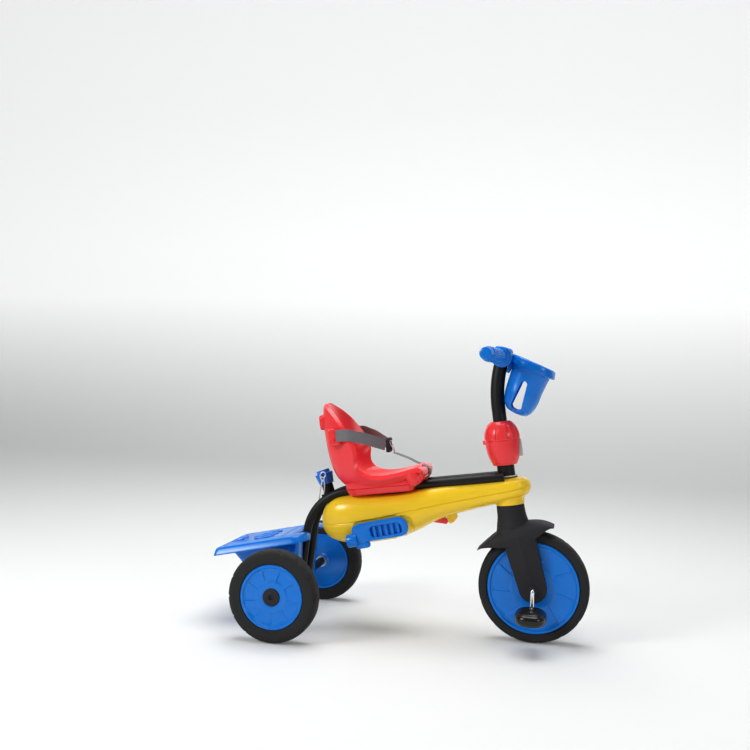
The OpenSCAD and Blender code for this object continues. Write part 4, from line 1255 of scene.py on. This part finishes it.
@dataclass
class Fork:
    """The black moulded fork: two legs under a saddle-shaped fender, and the boot above it."""

    crest: tuple = ((-86, -154), (-64, -137.5), (-41, -122), (-15, -110), (10, -103), (36, -101),
                    (60, -102.5), (78, -108), (94, -117))
    half_width: float = 48.0
    leg_top: tuple[float, float] = (12.5, -128.0)
    axle: tuple[float, float] = (30.0, -250.0)
    inner_y: float = 31.0

    def fender(self) -> Shape:
        """The saddle: arches across the wheel, whose skirts run out to nothing at both tips.

        Returns:
            The shape, in millimetres.
        """
        line = smooth(self.crest, 90)
        share = np.linspace(0, 1, 90)
        depth = 3.2 + 45 * np.sin(np.pi * share) ** 1.5
        width = self.half_width * (0.62 + 0.38 * np.sin(np.pi * np.clip(share, 0.02, 0.98)) ** 0.7)
        arch = power_circle(41, 3.2, 0, 180)

        def arc(gap: float) -> Array:
            """The arches drawn inwards by gap."""
            z = line[:, None, 1] - gap - np.maximum(depth - gap, 1)[:, None] * (1 - arch[None, :, 1])
            return np.stack([line[:, None, 0] + 0 * z, (width - gap)[:, None] * arch[None, :, 0], z], -1)

        return lattice(np.concatenate([arc(0), arc(2.4)[:, ::-1]], axis=1), wrap_columns=True,
                       ends=(True, True))

    def leg(self, side: Side) -> Shape:
        """A leg: two facets that meet on a ridge down its middle, and a round end at the axle.

        Args:
            side: The side of the tricycle.

        Returns:
            The shape, in millimetres.
        """
        top, axle = np.array(self.leg_top), np.array(self.axle)
        along = (axle - top) / np.linalg.norm(axle - top)
        end, length = 31.5, float(np.linalg.norm(axle - top))
        reach = np.concatenate([np.linspace(0, length, 40),
                                length + end * np.sin(np.radians(np.linspace(4, 90, 24)))])
        half = np.interp(reach, [0, length], [38, end])
        half = np.where(reach > length, end * np.sqrt(np.clip(1 - ((reach - length) / end)**2, 1e-4, 1)),
                        half)
        path = np.column_stack([top[0] + along[0] * reach, 0 * reach, top[1] + along[1] * reach])
        t = np.array([-1, -1, -0.97, -0.86, -0.4, 0, 0.4, 0.86, 0.97, 1, 1])
        y = np.array([0, 8.5, 10.6, 12, 15.6, 19, 15.6, 12, 10.6, 8.5, 0])
        flatter = (1 - 0.28 * ramp(reach, length * 0.45, length))[:, None]
        section = np.stack([y * flatter + self.inner_y, half[:, None] * t], axis=-1)
        return swept(path, section).flipped(side)

    def boot(self) -> Shape:
        """The boot: a cone with a rolled top and a slight belly.

        Returns:
            The shape, in millimetres.
        """
        profile = smooth([(20.5, -60.5), (28, -60.2), (31.4, -62.5), (32, -70), (33, -86),
                          (36.5, -103), (39.5, -121), (37, -128), (24, -128), (20.5, -100)], 60)
        made = upright(turned(profile, 96))
        lean = 1.5 * ramp(-made.points[:, 2], 58, 125)
        return Shape(made.points + lean[:, None] * np.array([1.0, 0, 0]), made.faces)

    def build(self) -> None:
        """The fork melted into one moulding, and its boot."""
        crown = pillow((76, 78, 40), 3, 3).moved(0, 0, -122)
        shape = self.fender() + self.leg(Side.RIGHT) + self.leg(Side.LEFT) + crown
        axle_x, axle_z = self.axle
        clear = turned([(0, -self.inner_y), (128.5, -self.inner_y), (130.5, -self.inner_y + 8),
                        (131, 0), (130.5, self.inner_y - 8), (128.5, self.inner_y),
                        (0, self.inner_y)], 128, False).moved(axle_x, 0, axle_z)
        piece("fork_moulding", shape, HEAD, Body.STEERING, BLACK_MOULD, ["fork"], sharp=28,
              blend=1.7, cutter=clear)
        piece("fork_boot_cone", self.boot(), HEAD, Body.STEERING, BLACK_MOULD, ["fork_boot"],
              sharp=40)
        log.info("fork")


@dataclass
class Steering:
    """The collar ball, badge, stem, handlebar cover and grips above the fork."""

    seam: float = 88.0
    lobes: int = 9
    stem_radius: float = 16.0
    bend_start: float = 165.0
    bend_radius: float = 275.0
    bend_turn: float = 24.5
    bar_half: float = 200.0
    sweep: float = 6.1
    rise: float = 2.2
    cover_radius: float = 24.0
    cover_half: float = 38.0

    @property
    def bar(self) -> tuple[float, float]:
        """The handlebar's middle in X and Z, at the end of the stem's bend."""
        turn = math.radians(self.bend_turn)
        return (self.bend_radius * (1 - math.cos(turn)),
                self.bend_start + self.bend_radius * math.sin(turn))

    def bar_place(self) -> Place:
        """The frame at the handlebar's middle."""
        x, z = self.bar
        return HEAD.shifted(x, 0, z)

    def lower_collar(self) -> Shape:
        """The lower cup, with a catch at its back.

        Returns:
            The shape, in millimetres.
        """
        seam = self.seam
        profile = smooth([(20.4, 34), (25, 31.2), (27.6, 31.6), (29.4, 35), (33.4, 44), (37, 55),
                          (39.3, 68), (40.3, 80), (40.6, seam - 1.2), (40, seam - 0.3), (37, seam - 0.3),
                          (36, seam - 8), (30, 50), (20.4, 42)], 90)
        cup = upright(turned(profile, 144))
        corners = [(-49.5, 81), (-37, 77), (-37, 86), (-43, 84.5), (-46, 89), (-49.5, 90)]
        catch = stacked([(rounded(corners, 1.8, g), y) for g, y in
                         ((1.2, -6), (0, -5), (0, 5), (1.2, 6))], Plane.SIDE)
        return cup + catch.turned_z(-24)

    def upper_collar(self) -> Shape:
        """The upper cup: petals raised between tapered slots that start above the seam.

        Returns:
            The shape, in millimetres.
        """
        seam = self.seam
        profile = smooth([(16.6, seam + 20), (36, seam + 2), (39.4, seam + 0.4), (40.2, seam + 1.4),
                          (40.9, seam + 6), (40.6, seam + 12), (39, seam + 20), (35.6, seam + 29),
                          (30.5, seam + 37), (25, seam + 42.4), (22.5, seam + 43.8), (20, seam + 44),
                          (16.6, seam + 43)], 110)

        def slots(a: Array, radius: Array, y: Array) -> tuple[Array, Array]:
            """Each petal is lowered by 2.6 mm beside its slot, fading out upwards.

            Args:
                a: The angle round the axis, in radians.
                radius: The radius there.
                y: The place along the axis.

            Returns:
                The new radius and place.
            """
            share = (a * self.lobes / (2 * np.pi)) % 1.0
            tall = ramp(y, seam + 3.5, seam + 4.5) * (1 - ramp(y, seam + 27, seam + 38))
            narrow = 0.10 + 0.12 * (1 - ramp(y, seam + 4, seam + 34))
            lowered = band(share, 0.5 - narrow, 0.5 + narrow, 0.05)
            return radius - 2.6 * lowered * tall * (radius > 21), y

        return upright(turned(profile, 432, relief=slots))

    def badge(self) -> Shape:
        """The plain shield on the collar's front.

        Returns:
            The shape, in millimetres.
        """
        corners = [(-11, -20), (11, -20), (12, 6), (9, 20), (-9, 20), (-12, 6)]
        rings = [(rounded(corners, 5, g), x) for g, x in ((0, 34.5), (0, 41.6), (1.2, 42.6), (3.2, 42.8),
                                                          (3.8, 42.1), (5.5, 42.1))]
        flat = stacked(rings)
        x, y, z = flat.points.T
        return Shape(np.stack([z, x, y], axis=-1), flat.faces).moved(0, 0, 68)

    def stem(self) -> Shape:
        """The stem: straight up out of the steering tube, then round its bend to the bar.

        Returns:
            The shape, in millimetres.
        """
        turn = np.radians(np.linspace(0, self.bend_turn + 1.5, 60))
        bend = np.column_stack([self.bend_radius * (1 - np.cos(turn)), 0 * turn,
                                self.bend_start + self.bend_radius * np.sin(turn)])
        return rod(np.vstack([[(0, 0, -20.0)], [(0, 0, 60.0)], [(0, 0, 130.0)], bend]),
                   self.stem_radius, 72)

    def cover(self) -> Shape:
        """The cover's barrel: a flanged ring at each end and a waist between them.

        Returns:
            The shape, in millimetres.
        """
        r, half = self.cover_radius, self.cover_half
        side = [(10.2, half + 4), (19, half + 4), (21.5, half + 3), (22, half + 1), (23.6, half),
                (r, half - 2), (r, half - 6), (r - 1.4, half - 7), (r - 2.2, half - 9)]
        profile = side + [(r - 2.4, 0)] + [(a, -b) for a, b in side[::-1]]
        return turned(profile, 96)

    def cover_cap(self) -> Shape:
        """The raised cap over the middle of the bar, plain on top."""
        return (pillow((40, 62, 12), 5, 3).leaned(-20).moved(5, 0, 17.5)
                + pillow((20, 50, 26), 4, 3).leaned(-20).moved(-19, 0, 2))

    def grip(self, side: Side) -> Shape:
        """A grip: a guard disc, six ribs round a waist, and a rounded end.

        Args:
            side: The side of the tricycle.

        Returns:
            The shape, in millimetres.
        """
        start, end = self.cover_half + 5, self.bar_half
        ribs = [(r, start + 8 + 18 * i + dy) for i in range(7)
                for r, dy in ((14.2, 0), (14.4, 2.2), (16.8, 4.2), (17.2, 6.5), (17.2, 9.5), (16.8, 11.8),
                              (14.4, 13.8), (14.2, 16))]
        ribs = [(r, y) for r, y in ribs if y < end - 22]
        profile = ([(10.2, start), (20, start), (21.4, start + 0.8), (21.4, start + 4), (20, start + 5),
                    (15, start + 6)] + ribs
                   + [(13.4, end - 20), (12.8, end - 15), (12.9, end - 12), (13.8, end - 9.5),
                      (14, end - 3), (13.2, end - 0.8), (11.6, end), (8, end + 0.3), (0, end + 0.4),
                      (0, end - 6), (10.2, end - 6)])

        def flutes(a: Array, radius: Array, y: Array) -> tuple[Array, Array]:
            """Shallow flutes of 0.5 mm along the crests of the ribs."""
            return radius - 0.5 * (radius > 16) * (y > start + 8) * np.cos(24 * a), y

        made = turned(profile, 144, relief=flutes)
        x, y, z = made.points.T
        c, s = math.cos(math.radians(self.rise)), math.sin(math.radians(self.rise))
        tipped = Shape(np.stack([x, y * c - z * s, y * s + z * c], axis=-1), made.faces)
        return tipped.turned_z(self.sweep).flipped(side)

    def build(self) -> None:
        """Everything above the fork but the bucket."""
        piece("collar_lower_cup", self.lower_collar(), HEAD, Body.STEERING, RED, ["collar_lower"],
              sharp=40)
        piece("collar_upper_cup", self.upper_collar(), HEAD, Body.STEERING, RED, ["collar_upper"],
              sharp=32)
        piece("badge_shield", self.badge(), HEAD, Body.STEERING, BADGE, ["badge_plate"])
        piece("stem_tube", self.stem(), HEAD, Body.STEERING, PAINT, ["handlebar_stem"])
        place = self.bar_place()
        piece("bar_cover", self.cover() + self.cover_cap(), place, Body.STEERING, BLUE,
              ["handlebar_cover"], sharp=40)
        for side in Side:
            piece(f"grip_{side.word}_sleeve", self.grip(side), place, Body.STEERING, BLUE,
                  [f"grip_{side.word}"], sharp=38)
        log.info("steering")


@dataclass
class Bucket:
    """The blue bucket that hangs on the handlebar, with a slot through each side."""

    tilt: float = 31.0
    height: float = 125.0
    wall: float = 2.5
    # Height share below the mouth, back and front of the wall, half width
    rings: tuple = ((-1, 12, 28, 10), (-0.995, 4, 35, 21), (-0.972, -5, 42, 30), (-0.93, -11.5, 47.5, 36),
                    (-0.87, -17.5, 51.5, 40.5), (-0.78, -22, 54.5, 44), (-0.65, -26, 56, 46.5),
                    (-0.48, -29, 55, 47), (-0.3, -31.5, 55.6, 49), (-0.14, -33.5, 56, 50.5),
                    (0, -35, 56.5, 51.5))

    def ring(self, rows: Array, grow: float) -> Array:
        """Outlines grown by a width: x is the middle plus the half length times the rounded cos.

        Args:
            rows: The outlines' sizes, one in each row.
            grow: The width added all round.

        Returns:
            The grid of points, one outline in each row.
        """
        loop = power_circle(96, 2.35)[None]
        middle, half = (rows[:, 1:2] + rows[:, 2:3]) / 2, (rows[:, 2:3] - rows[:, 1:2]) / 2
        x = middle + (half + grow) * loop[..., 0]
        return np.stack([x, (rows[:, 3:4] + grow) * loop[..., 1],
                         rows[:, :1] * self.height + 0 * x], axis=-1)

    def body(self) -> Shape:
        """The wall from the bottom up, over the rolled rim, and down again inside.

        Returns:
            The shape, in millimetres.
        """
        rows = smooth(self.rings, 80)
        outer, inner = self.ring(rows, 0), self.ring(rows, -self.wall)[::-1]
        inner[..., 2] = np.maximum(inner[..., 2], -self.height + self.wall)
        top = rows[-1:]
        rim = [self.ring(top + np.array([[dz / self.height, 0, tip, 0]]), grow) for dz, grow, tip in
               ((-20, 0.2, 0), (-20, 3.8, 1), (-19.2, 5.2, 3), (-17.5, 5.6, 5), (-3, 4.4, 2),
                (-1, 3.4, 1), (0, 1.6, 0.5), (0.2, 0, 0), (-0.6, -self.wall, 0))]
        return lattice(np.concatenate([outer[:-14], *rim, inner[1:]]), wrap_columns=True,
                       ends=(True, True))

    def slot(self) -> Shape:
        """The slot's cutter: a narrow round end above and a wide one below, right through.

        Returns:
            The shape, in millimetres.
        """
        h = self.height
        a = np.radians(np.linspace(0, 180, 20))
        top = np.column_stack([10 + 7.4 * np.cos(a), -h * 0.44 + 7.4 * np.sin(a)])
        foot = np.column_stack([14 - 12.6 * np.cos(a), -h * 0.86 - 9 * np.sin(a)])
        outline = np.vstack([top, foot])
        return stacked([(outline, -80), (outline, 80)], Plane.SIDE)

    def build(self, steering: Steering) -> None:
        """The bucket and the saddle that hooks it on the bar.

        Args:
            steering: The steering, which gives the place of the bar.
        """
        bar_x, bar_z = steering.bar
        place = HEAD.shifted(bar_x + 62, 0, bar_z - 16, -self.tilt)
        piece("bucket_shell", self.body(), place, Body.STEERING, BLUE, ["bucket"], sharp=45,
              cutter=self.slot())
        saddle = pillow((26, 46, 17), 5, 4).moved(-46, 0, -9)
        clip = pillow((9, 30, 30), 4, 4).moved(-37, 0, -32)
        piece("bucket_saddle", saddle + clip, place, Body.STEERING, BLUE, sharp=45)
        log.info("bucket")


@dataclass
class Bin:
    """The blue bin over the rear axle, and its lid with a grooved panel and a latch."""

    slope_rise: float = 94.5
    hinge_x: float = 13.0
    back: float = -191.5
    tip: float = 43.0
    half_width: float = 113.0
    notch_half: float = 48.0
    notch_x: float = -8.0
    lid_height: float = 17.0
    skirt_cut: float = 10.0
    bin_half: float = 92.0
    floor_z: float = 22.5

    def lid_corners(self) -> list[tuple[float, float]]:
        """The lid's outline: a wide back, two wings in front and a notch for the tubes."""
        w, n, x1, x2 = self.half_width, self.notch_half, self.notch_x, self.tip
        return [(self.back, -w), (x2 - 22, -w), (x2, -w + 28), (x2 - 5, -n), (x1, -n), (x1, n),
                (x2 - 5, n), (x2, w - 28), (x2 - 22, w), (self.back, w)]

    def lid(self) -> Shape:
        """The lid: a skirt, a round shoulder, a rim, a groove and a panel, then the inside.

        Round the notch the skirt is squeezed to stop short of the bin's front when the lid turns.

        Returns:
            The shape, in millimetres.
        """
        corners, h = self.lid_corners(), self.lid_height
        radii = [11, 14, 16, 6, 9, 9, 6, 16, 14, 11]
        steps = ((3, 1), (1.2, 0), (0, 0), (0, 1.2), (1.2, 4), (5, h - 4.5), (7, h - 1.8), (9.5, h - 0.5),
                 (12, h), (19, h), (19.8, h - 0.4), (20.4, h - 1.9), (22, h - 2.1), (23.6, h - 1.9),
                 (24.2, h - 0.4), (25, h))
        rings = [(rounded(corners, radii, g), z) for g, z in steps]
        lining = [(rounded(corners, radii, g), z) for g, z in
                  ((25, h - 2.6), (14, h - 2.6), (9.5, h - 4.5), (3.4, 3), (3, 1))]
        top = stacked(rings, ends=(False, True))
        under = stacked(lining, ends=(True, False))
        made = top + under
        x, y, z = made.points.T
        near_notch = (x > self.notch_x - 6) & (np.abs(y) < self.notch_half + 13)
        z = np.where(near_notch, self.skirt_cut + z * (h - self.skirt_cut) / h, z)
        return Shape(np.stack([x, y, z], axis=-1), made.faces).moved(-self.hinge_x)

    def relief(self) -> Shape:
        """The panel's raised ornament: three plain rounded lozenges side by side.

        Returns:
            The shape, in millimetres.
        """
        h = self.lid_height
        made = None
        for x, y, length, width in ((-84, -36, 50, 26), (-90, 0, 62, 30), (-84, 36, 50, 26)):
            ring = power_circle(48, 2.6)
            rings = [(ring * np.array([length, width]) / 2 * k + np.array([x, y]), h + z)
                     for k, z in ((1, -1), (1, 1.6), (0.96, 2.3), (0.86, 2.5), (0.80, 1.5), (0.5, 1.5))]
            lozenge = stacked(rings)
            made = lozenge if made is None else made + lozenge
        return made.moved(-self.hinge_x)

    def latch(self) -> Shape:
        """The latch at the back: a ramped thumb piece with a finger dip.

        Returns:
            The shape, in millimetres.
        """
        x, y = np.meshgrid(np.linspace(-1, 1, 40), np.linspace(-1, 1, 48), indexing="ij")
        edge = (1 - np.abs(x) ** 8) * (1 - np.abs(y) ** 8)
        z = 7.5 * np.clip(edge, 0, 1) ** 0.35 * (0.62 + 0.38 * x) - 3.2 * band(x, -0.6, 0.35, 0.4) * band(
            y, -0.6, 0.6, 0.4)
        top = np.stack([x * 15, y * 20, z], axis=-1)
        skin = lattice(top)
        under = lattice(top * np.array([1, 1, 0]) + np.array([0, 0, -2.0]))
        walls = [lattice(np.stack([a, b])) for a, b in (
            (top[0], under.points.reshape(top.shape)[0]), (top[-1], under.points.reshape(top.shape)[-1]),
            (top[:, 0], under.points.reshape(top.shape)[:, 0]),
            (top[:, -1], under.points.reshape(top.shape)[:, -1]))]
        made = skin + under + walls[0] + walls[1] + walls[2] + walls[3]
        return made.moved(self.back + 34 - self.hinge_x, 0, self.lid_height + 0.5)

    def tub_ring(self, z: float, g: float, share: float) -> tuple[Array, float]:
        """The tub's outline at a height; its back leans out from the floor to the mouth.

        Args:
            z: The height.
            g: How far it is drawn inwards.
            share: The height's share of the wall, from the floor to the mouth.

        Returns:
            The outline and its height.
        """
        back = -113 - 34 * share
        w = self.bin_half - 5 * (1 - share)
        n, front, notch = self.notch_half, 17.0, -6.0
        corners = [(back, -w), (front, -w), (front, -n), (notch, -n), (notch, n), (front, n),
                   (front, w), (back, w)]
        return rounded(corners, [20, 12, 5, 5, 5, 5, 12, 20], g), z

    def tub(self) -> Shape:
        """The tub: floor, leaning walls up to the slanted mouth, and the inside back down.

        Returns:
            The shape, in millimetres.
        """
        levels = np.linspace(0, 1, 12)
        outer = [self.tub_ring(self.floor_z + 70 * s, 3 * (s == 0), s) for s in levels]
        inner = [self.tub_ring(max(self.floor_z + 70 * s, self.floor_z + 3), 3, s)
                 for s in levels[::-1]]
        made = stacked(outer + inner)
        slant = math.tan(math.radians(LID_SLOPE))
        x, y, z = made.points.T
        share = (z - self.floor_z) / 70
        mouth = self.slope_rise - 1.2 + x * slant
        return Shape(np.stack([x, y, z + share * (mouth - self.floor_z - 70)], axis=-1),
                     made.faces)

    def ribs(self) -> Shape:
        """Upright ribs on the side walls near the front, and the saddles on the axle tube.

        Returns:
            The shape, in millimetres.
        """
        made = None
        for sign in (-1, 1):
            for x in (-30, -6, 10):
                rib = pillow((5, 5, 66), 4, 8).moved(x, sign * (self.bin_half + 0.5), self.floor_z + 33)
                made = rib if made is None else made + rib
            saddle = stacked([(rounded([(-22, -13), (13, -13), (14, 30), (-26, 30)], [10, 10, 4, 4], g), y)
                              for g, y in ((1, -6), (0, -5), (0, 5), (1, 6))], Plane.SIDE)
            made = made + saddle.moved(0, sign * 73, 0)
        return made

    def build(self) -> None:
        """The tub and the lid."""
        piece("bin_tub_shell", self.tub() + self.ribs(), REAR, Body.CHASSIS, BLUE, ["bin_tub"],
              bevel=0.8, sharp=40)
        piece("bin_lid_shell", self.lid(), LID, Body.LID, BLUE, ["bin_lid"], sharp=38)
        piece("lid_ornament", self.relief(), LID, Body.LID, BLUE, sharp=38)
        piece("lid_latch_thumb", self.latch(), LID, Body.LID, BLUE, ["lid_latch"], sharp=50)
        log.info("bin")


@dataclass
class Footrests:
    """The two folding footrests, each a framed step with upright bars, and the release lever."""

    length: float = 141.0
    thick: float = 14.0
    hinge_y: float = 75.0
    hinge_z: float = -112.0

    def frame_ring(self) -> Shape:
        """The step's frame: a rounded outline joined to its window round the edge.

        Returns:
            The shape, in millimetres.
        """
        outer = [(12, -1), (self.length - 10, -2), (self.length + 4, 6), (self.length + 4, 32),
                 (self.length - 11, 43), (28, 42), (13, 36)]
        window = [(58, 6), (126, 6), (131, 10), (131, 24), (122, 31), (60, 31), (56, 27)]
        t = self.thick / 2
        rings = [(rounded(outer, 12, 2.5), -t), (rounded(outer, 12, 0.6), -t + 0.6),
                 (rounded(outer, 12, 0), -t + 2.5), (rounded(outer, 12, 0), t - 2.5),
                 (rounded(outer, 12, 0.6), t - 0.6), (rounded(outer, 12, 2.5), t),
                 (rounded(window, 6, -2), t), (rounded(window, 6, -0.5), t - 0.5),
                 (rounded(window, 6, 0), t - 2), (rounded(window, 6, 0), -t + 2),
                 (rounded(window, 6, -2), -t)]
        grid = stacked(rings, Plane.SIDE, ends=(False, False)).points.reshape(len(rings), -1, 3)
        return lattice(grid, wrap_rows=True, wrap_columns=True)

    def step(self, side: Side) -> Shape:
        """The whole footrest: the frame, its bars and back web, the barrel and the tab.

        Args:
            side: The side of the tricycle.

        Returns:
            The shape, in millimetres.
        """
        made = self.frame_ring()
        for x in (66, 80, 94, 108, 122):
            made = made + pillow((8.5, 9, 30), 3, 8).moved(x, -0.5, 18)
        made = made + pillow((82, 3, 32), 6, 8).moved(94, -4.5, 18)
        barrel = turned([(0, -3), (12.5, -3), (14.8, -1.5), (15.5, 0), (15.5, 20), (14.5, 22),
                         (11, 23), (0, 23)], 48, False)
        x, y, z = barrel.points.T
        made = made + Shape(np.stack([y, x, z], axis=-1), barrel.faces).moved(0, 0, 6.5)
        made = made + pillow((30, 13, 34), 4, 4).moved(30, 0, 10)
        made = made + pillow((34, 12, 15), 5, 4).moved(33, 0, -8)
        return made.leaned(FOOT_TILT).moved(FOOT_X, self.hinge_y, self.hinge_z).flipped(side)

    def lever(self) -> Shape:
        """The red release lever: a thumb plate with a stepped end.

        Returns:
            The shape, in millimetres.
        """
        plate = [(-6, -6), (20, -4), (46, -2), (48, 6), (44, 10), (14, 9), (-6, 6)]
        rings = [(rounded(plate, 3, g), y) for g, y in ((1.5, -11), (0, -10), (0, 10), (1.5, 11))]
        return stacked(rings, Plane.SIDE).leaned(-17)

    def build(self) -> None:
        """Both footrests and the lever with its hook."""
        for side, body in ((Side.RIGHT, Body.FOOTREST_RIGHT), (Side.LEFT, Body.FOOTREST_LEFT)):
            piece(f"footrest_{side.word}_step", self.step(side), HEAD, body, BLUE,
                  [f"footrest_{side.word}"], sharp=40)
        lever_x = FOOT_X + 180
        piece("lever_plate", self.lever(), HEAD.shifted(lever_x, 0, -78), Body.LEVER, RED,
              ["release_lever"], sharp=40)
        hook = stacked([(rounded([(-149, -72), (-128, -68), (-127, -80), (-133, -88), (-142, -92),
                                  (-147, -84)], 2.5, g), y)
                        for g, y in ((1.2, -9), (0, -8), (0, 8), (1.2, 9))], Plane.SIDE)
        piece("lever_guard", hook, HEAD, Body.CHASSIS, YELLOW, sharp=40)
        log.info("footrests")


@dataclass
class Harness:
    """The belt: two shoulder straps into a buckle, and a crotch strap from a wire loop."""

    width: float = 27.0
    thick: float = 1.3
    columns: int = 24

    def ribbon(self, knots: Sequence[Sequence[float]], across: Sequence[float],
               rows: int = 120) -> tuple[Shape, float]:
        """A strap along a path, a flat closed section with slightly thicker selvedges.

        Args:
            knots: The path of the strap's middle.
            across: The direction of its width.
            rows: How many sections it gets.

        Returns:
            The shape and its length in millimetres.
        """
        path = smooth(knots, rows)
        u = np.linspace(-1, 1, self.columns)
        t = self.thick / 2 * (1 + 0.35 * band(np.abs(u), 0.84, 0.97, 0.08))
        section = np.concatenate([np.stack([u * self.width / 2, t], -1),
                                  np.stack([u * self.width / 2, -t], -1)[::-1]])
        length = float(np.linalg.norm(np.diff(path, axis=0), axis=1).sum())
        return swept(path, section, across), length

    def strap(self, name: str, knots: Sequence[Sequence[float]], across: Sequence[float],
              replaces: Sequence[str]) -> None:
        """A strap as a piece with its own UV, u across and v along, declared as webbing.

        Args:
            name: The piece's name.
            knots: The points that the strap's path goes through.
            across: The direction across the strap.
            replaces: The nodes that it stands for.
        """
        shape, length = self.ribbon(knots, across)
        made = piece(name, shape, HEAD, Body.CHASSIS, STRAP, replaces, sharp=50)
        self.unwrap(made, shape, length)

    def unwrap(self, made: bpy.types.Object, shape: Shape, length: float) -> None:
        """UVs by corner: u is the share across the section, v the place along the path.

        Args:
            made: The strap's object.
            shape: The shape, in millimetres.
            length: The strap's length along its path.
        """
        rows = len(shape.points) // (2 * self.columns)
        section = np.concatenate([np.linspace(0, 1, self.columns), np.linspace(1, 0, self.columns)])
        u = np.tile(section, rows)
        v = np.repeat(np.linspace(0, length / self.width, rows), 2 * self.columns)
        corners = np.empty(len(made.data.loops), int)
        made.data.loops.foreach_get("vertex_index", corners)
        layer = made.data.uv_layers.new(name="weave")
        layer.data.foreach_set("uv", np.stack([u[corners], v[corners]], axis=-1).ravel())

    def buckle(self) -> Shape:
        """The ladder buckle: a rounded frame with a bar across its middle.

        Returns:
            The shape, in millimetres.
        """
        outer = [(-19, -17), (19, -17), (19, 17), (-19, 17)]
        window = [(-14.5, -13), (14.5, -13), (14.5, 13), (-14.5, 13)]
        rings = [(rounded(outer, 5, 1), -4), (rounded(outer, 5, 0), -3), (rounded(outer, 5, 0), 3),
                 (rounded(outer, 5, 1), 4), (rounded(window, 3, -1), 4), (rounded(window, 3, 0), 3),
                 (rounded(window, 3, 0), -3), (rounded(window, 3, -1), -4)]
        grid = stacked(rings).points.reshape(len(rings), -1, 3)
        ring = lattice(grid, wrap_rows=True, wrap_columns=True)
        bars = pillow((4, 32, 5), 4, 3).moved(0, 0, 0) + pillow((4, 32, 7), 4, 3).moved(-9, 0, 1)
        x, y, z = (ring + bars).points.T
        return Shape(np.stack([z, x, y], axis=-1), (ring + bars).faces).leaned(-6)

    def build(self) -> None:
        """The straps, the buckle and the wire loop."""
        z = 138.0
        near = [(-374, 87.6, z + 2), (-358, 87.2, z + 1.5), (-345, 85, z + 0.5), (-328, 74, z - 6),
                (-312, 61, z - 12), (-297, 46, z - 20), (-284, 31, z - 27), (-273, 18.5, z - 33)]
        for side in Side:
            knots = [(x, y * side.value, h) for x, y, h in near]
            self.strap(f"belt_webbing_{side.word}", knots, (0.05, 0, 1), [f"belt_strap_{side.word}"])
        piece("belt_buckle_frame", self.buckle(), HEAD.shifted(-268, 0, 103), Body.CHASSIS,
              BLACK_MOULD, ["belt_buckle"], sharp=45)
        crotch = [(-258, 0, 84), (-243, 0, 77), (-222, 0, 66.5), (-207, 0, 57), (-194, 0, 50),
                  (-185, 0, 45.6), (-178.4, 0, 40), (-176.4, 0, 33), (-179.2, 0, 24), (-186, 0, 15.5),
                  (-194, 0, 9)]
        self.strap("crotch_webbing", crotch, (0, 1, 0), ["crotch_strap"])
        loop = np.array([(-264, -13, 112), (-264, 0, 113), (-264, 13, 112), (-260, 9, 98),
                         (-256, 3, 85), (-255, 0, 83), (-256, -3, 85), (-260, -9, 98)], float)
        path = smooth(np.vstack([loop, loop[:1]]), 100)
        piece("belt_wire_loop", rod(path, 1.1, 12), HEAD, Body.CHASSIS, ZINC, sharp=60)
        log.info("harness")


@dataclass
class Socket:
    """The push-handle socket behind the seat: collar, mouth ring and hanging clip."""

    def collar(self) -> Shape:
        """The tapered collar with a rolled mouth and eight shallow flutes.

        Returns:
            The shape, in millimetres.
        """
        profile = smooth([(13.6, 38), (16.6, 37.2), (17.6, 38.6), (18.8, 46), (20.6, 55), (21.6, 60),
                          (22.2, 62), (21.8, 63.4), (20, 64), (17.2, 64.4), (16.2, 66), (15.8, 71),
                          (14.8, 72), (13.6, 70)], 80)

        def flutes(a: Array, radius: Array, y: Array) -> tuple[Array, Array]:
            """Flutes of 0.8 mm round the cone."""
            return radius - 0.8 * band(np.cos(8 * a), 0.3, 2, 0.4) * band(y, 41, 58, 4) * (radius > 16), y

        return upright(turned(profile, 160, relief=flutes))

    def clip(self) -> Shape:
        """The spring wire clip: a pin, an eye and two legs that hang straight down.

        Returns:
            The shape, in millimetres.
        """
        eye = np.radians(np.linspace(-60, 300, 40))
        legs = smooth([(6, -27, 14), (3, -27, 6), (4, -27, -4), (5, -27, -14), (4, -27, -30),
                       (3, -27, -44), (0, -27, -53), (-5, -27, -55), (-8, -27, -50), (-6, -27, -30),
                       (-4, -27, -12), (-2, -27, -2), (-6, -27, 8), (-7, -27, 14)], 120)
        ring = np.column_stack([6.4 * np.cos(eye), -27 + 1.0 * np.sin(eye / 2), 14 + 6.4 * np.sin(eye)])
        pin = np.array([(0, -29, 0), (0, -24, 0), (0, -18, 0), (0, -11.6, 0)], float)
        return rod(legs, 1.4, 14) + rod(ring, 1.4, 14) + swept(pin, power_circle(20, 2) * 2.9, (1, 0, 0))

    def build(self) -> None:
        """The collar and the clip; the clip hangs upright whatever the socket's lean."""
        piece("socket_collar_cone", self.collar(), SOCKET, Body.CHASSIS, BLUE, ["socket_collar"],
              sharp=40)
        piece("socket_clip_wire", self.clip(), SOCKET.shifted(0, 0, 48, -SOCKET.lean), Body.CHASSIS,
              ZINC, ["locking_clip"], sharp=60)
        log.info("socket")


def corners(bounds: Sequence[Sequence[float]]) -> list[list[float]]:
    """Two corners as plain lists."""
    return [[float(v) for v in corner] for corner in bounds]


def main() -> None:
    """Builds the stage and every sub-assembly in order."""
    logging.basicConfig(level=logging.INFO, format="%(message)s")
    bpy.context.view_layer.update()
    Studio().build()
    FrameTubes().build()
    BodyShell().build()
    Seat().build()
    RearWheels().build()
    FrontWheel().build()
    Fork().build()
    steering = Steering()
    steering.build()
    Bucket().build(steering)
    Bin().build()
    Footrests().build()
    Harness().build()
    Socket().build()


if __name__ == "__main__":
    main()
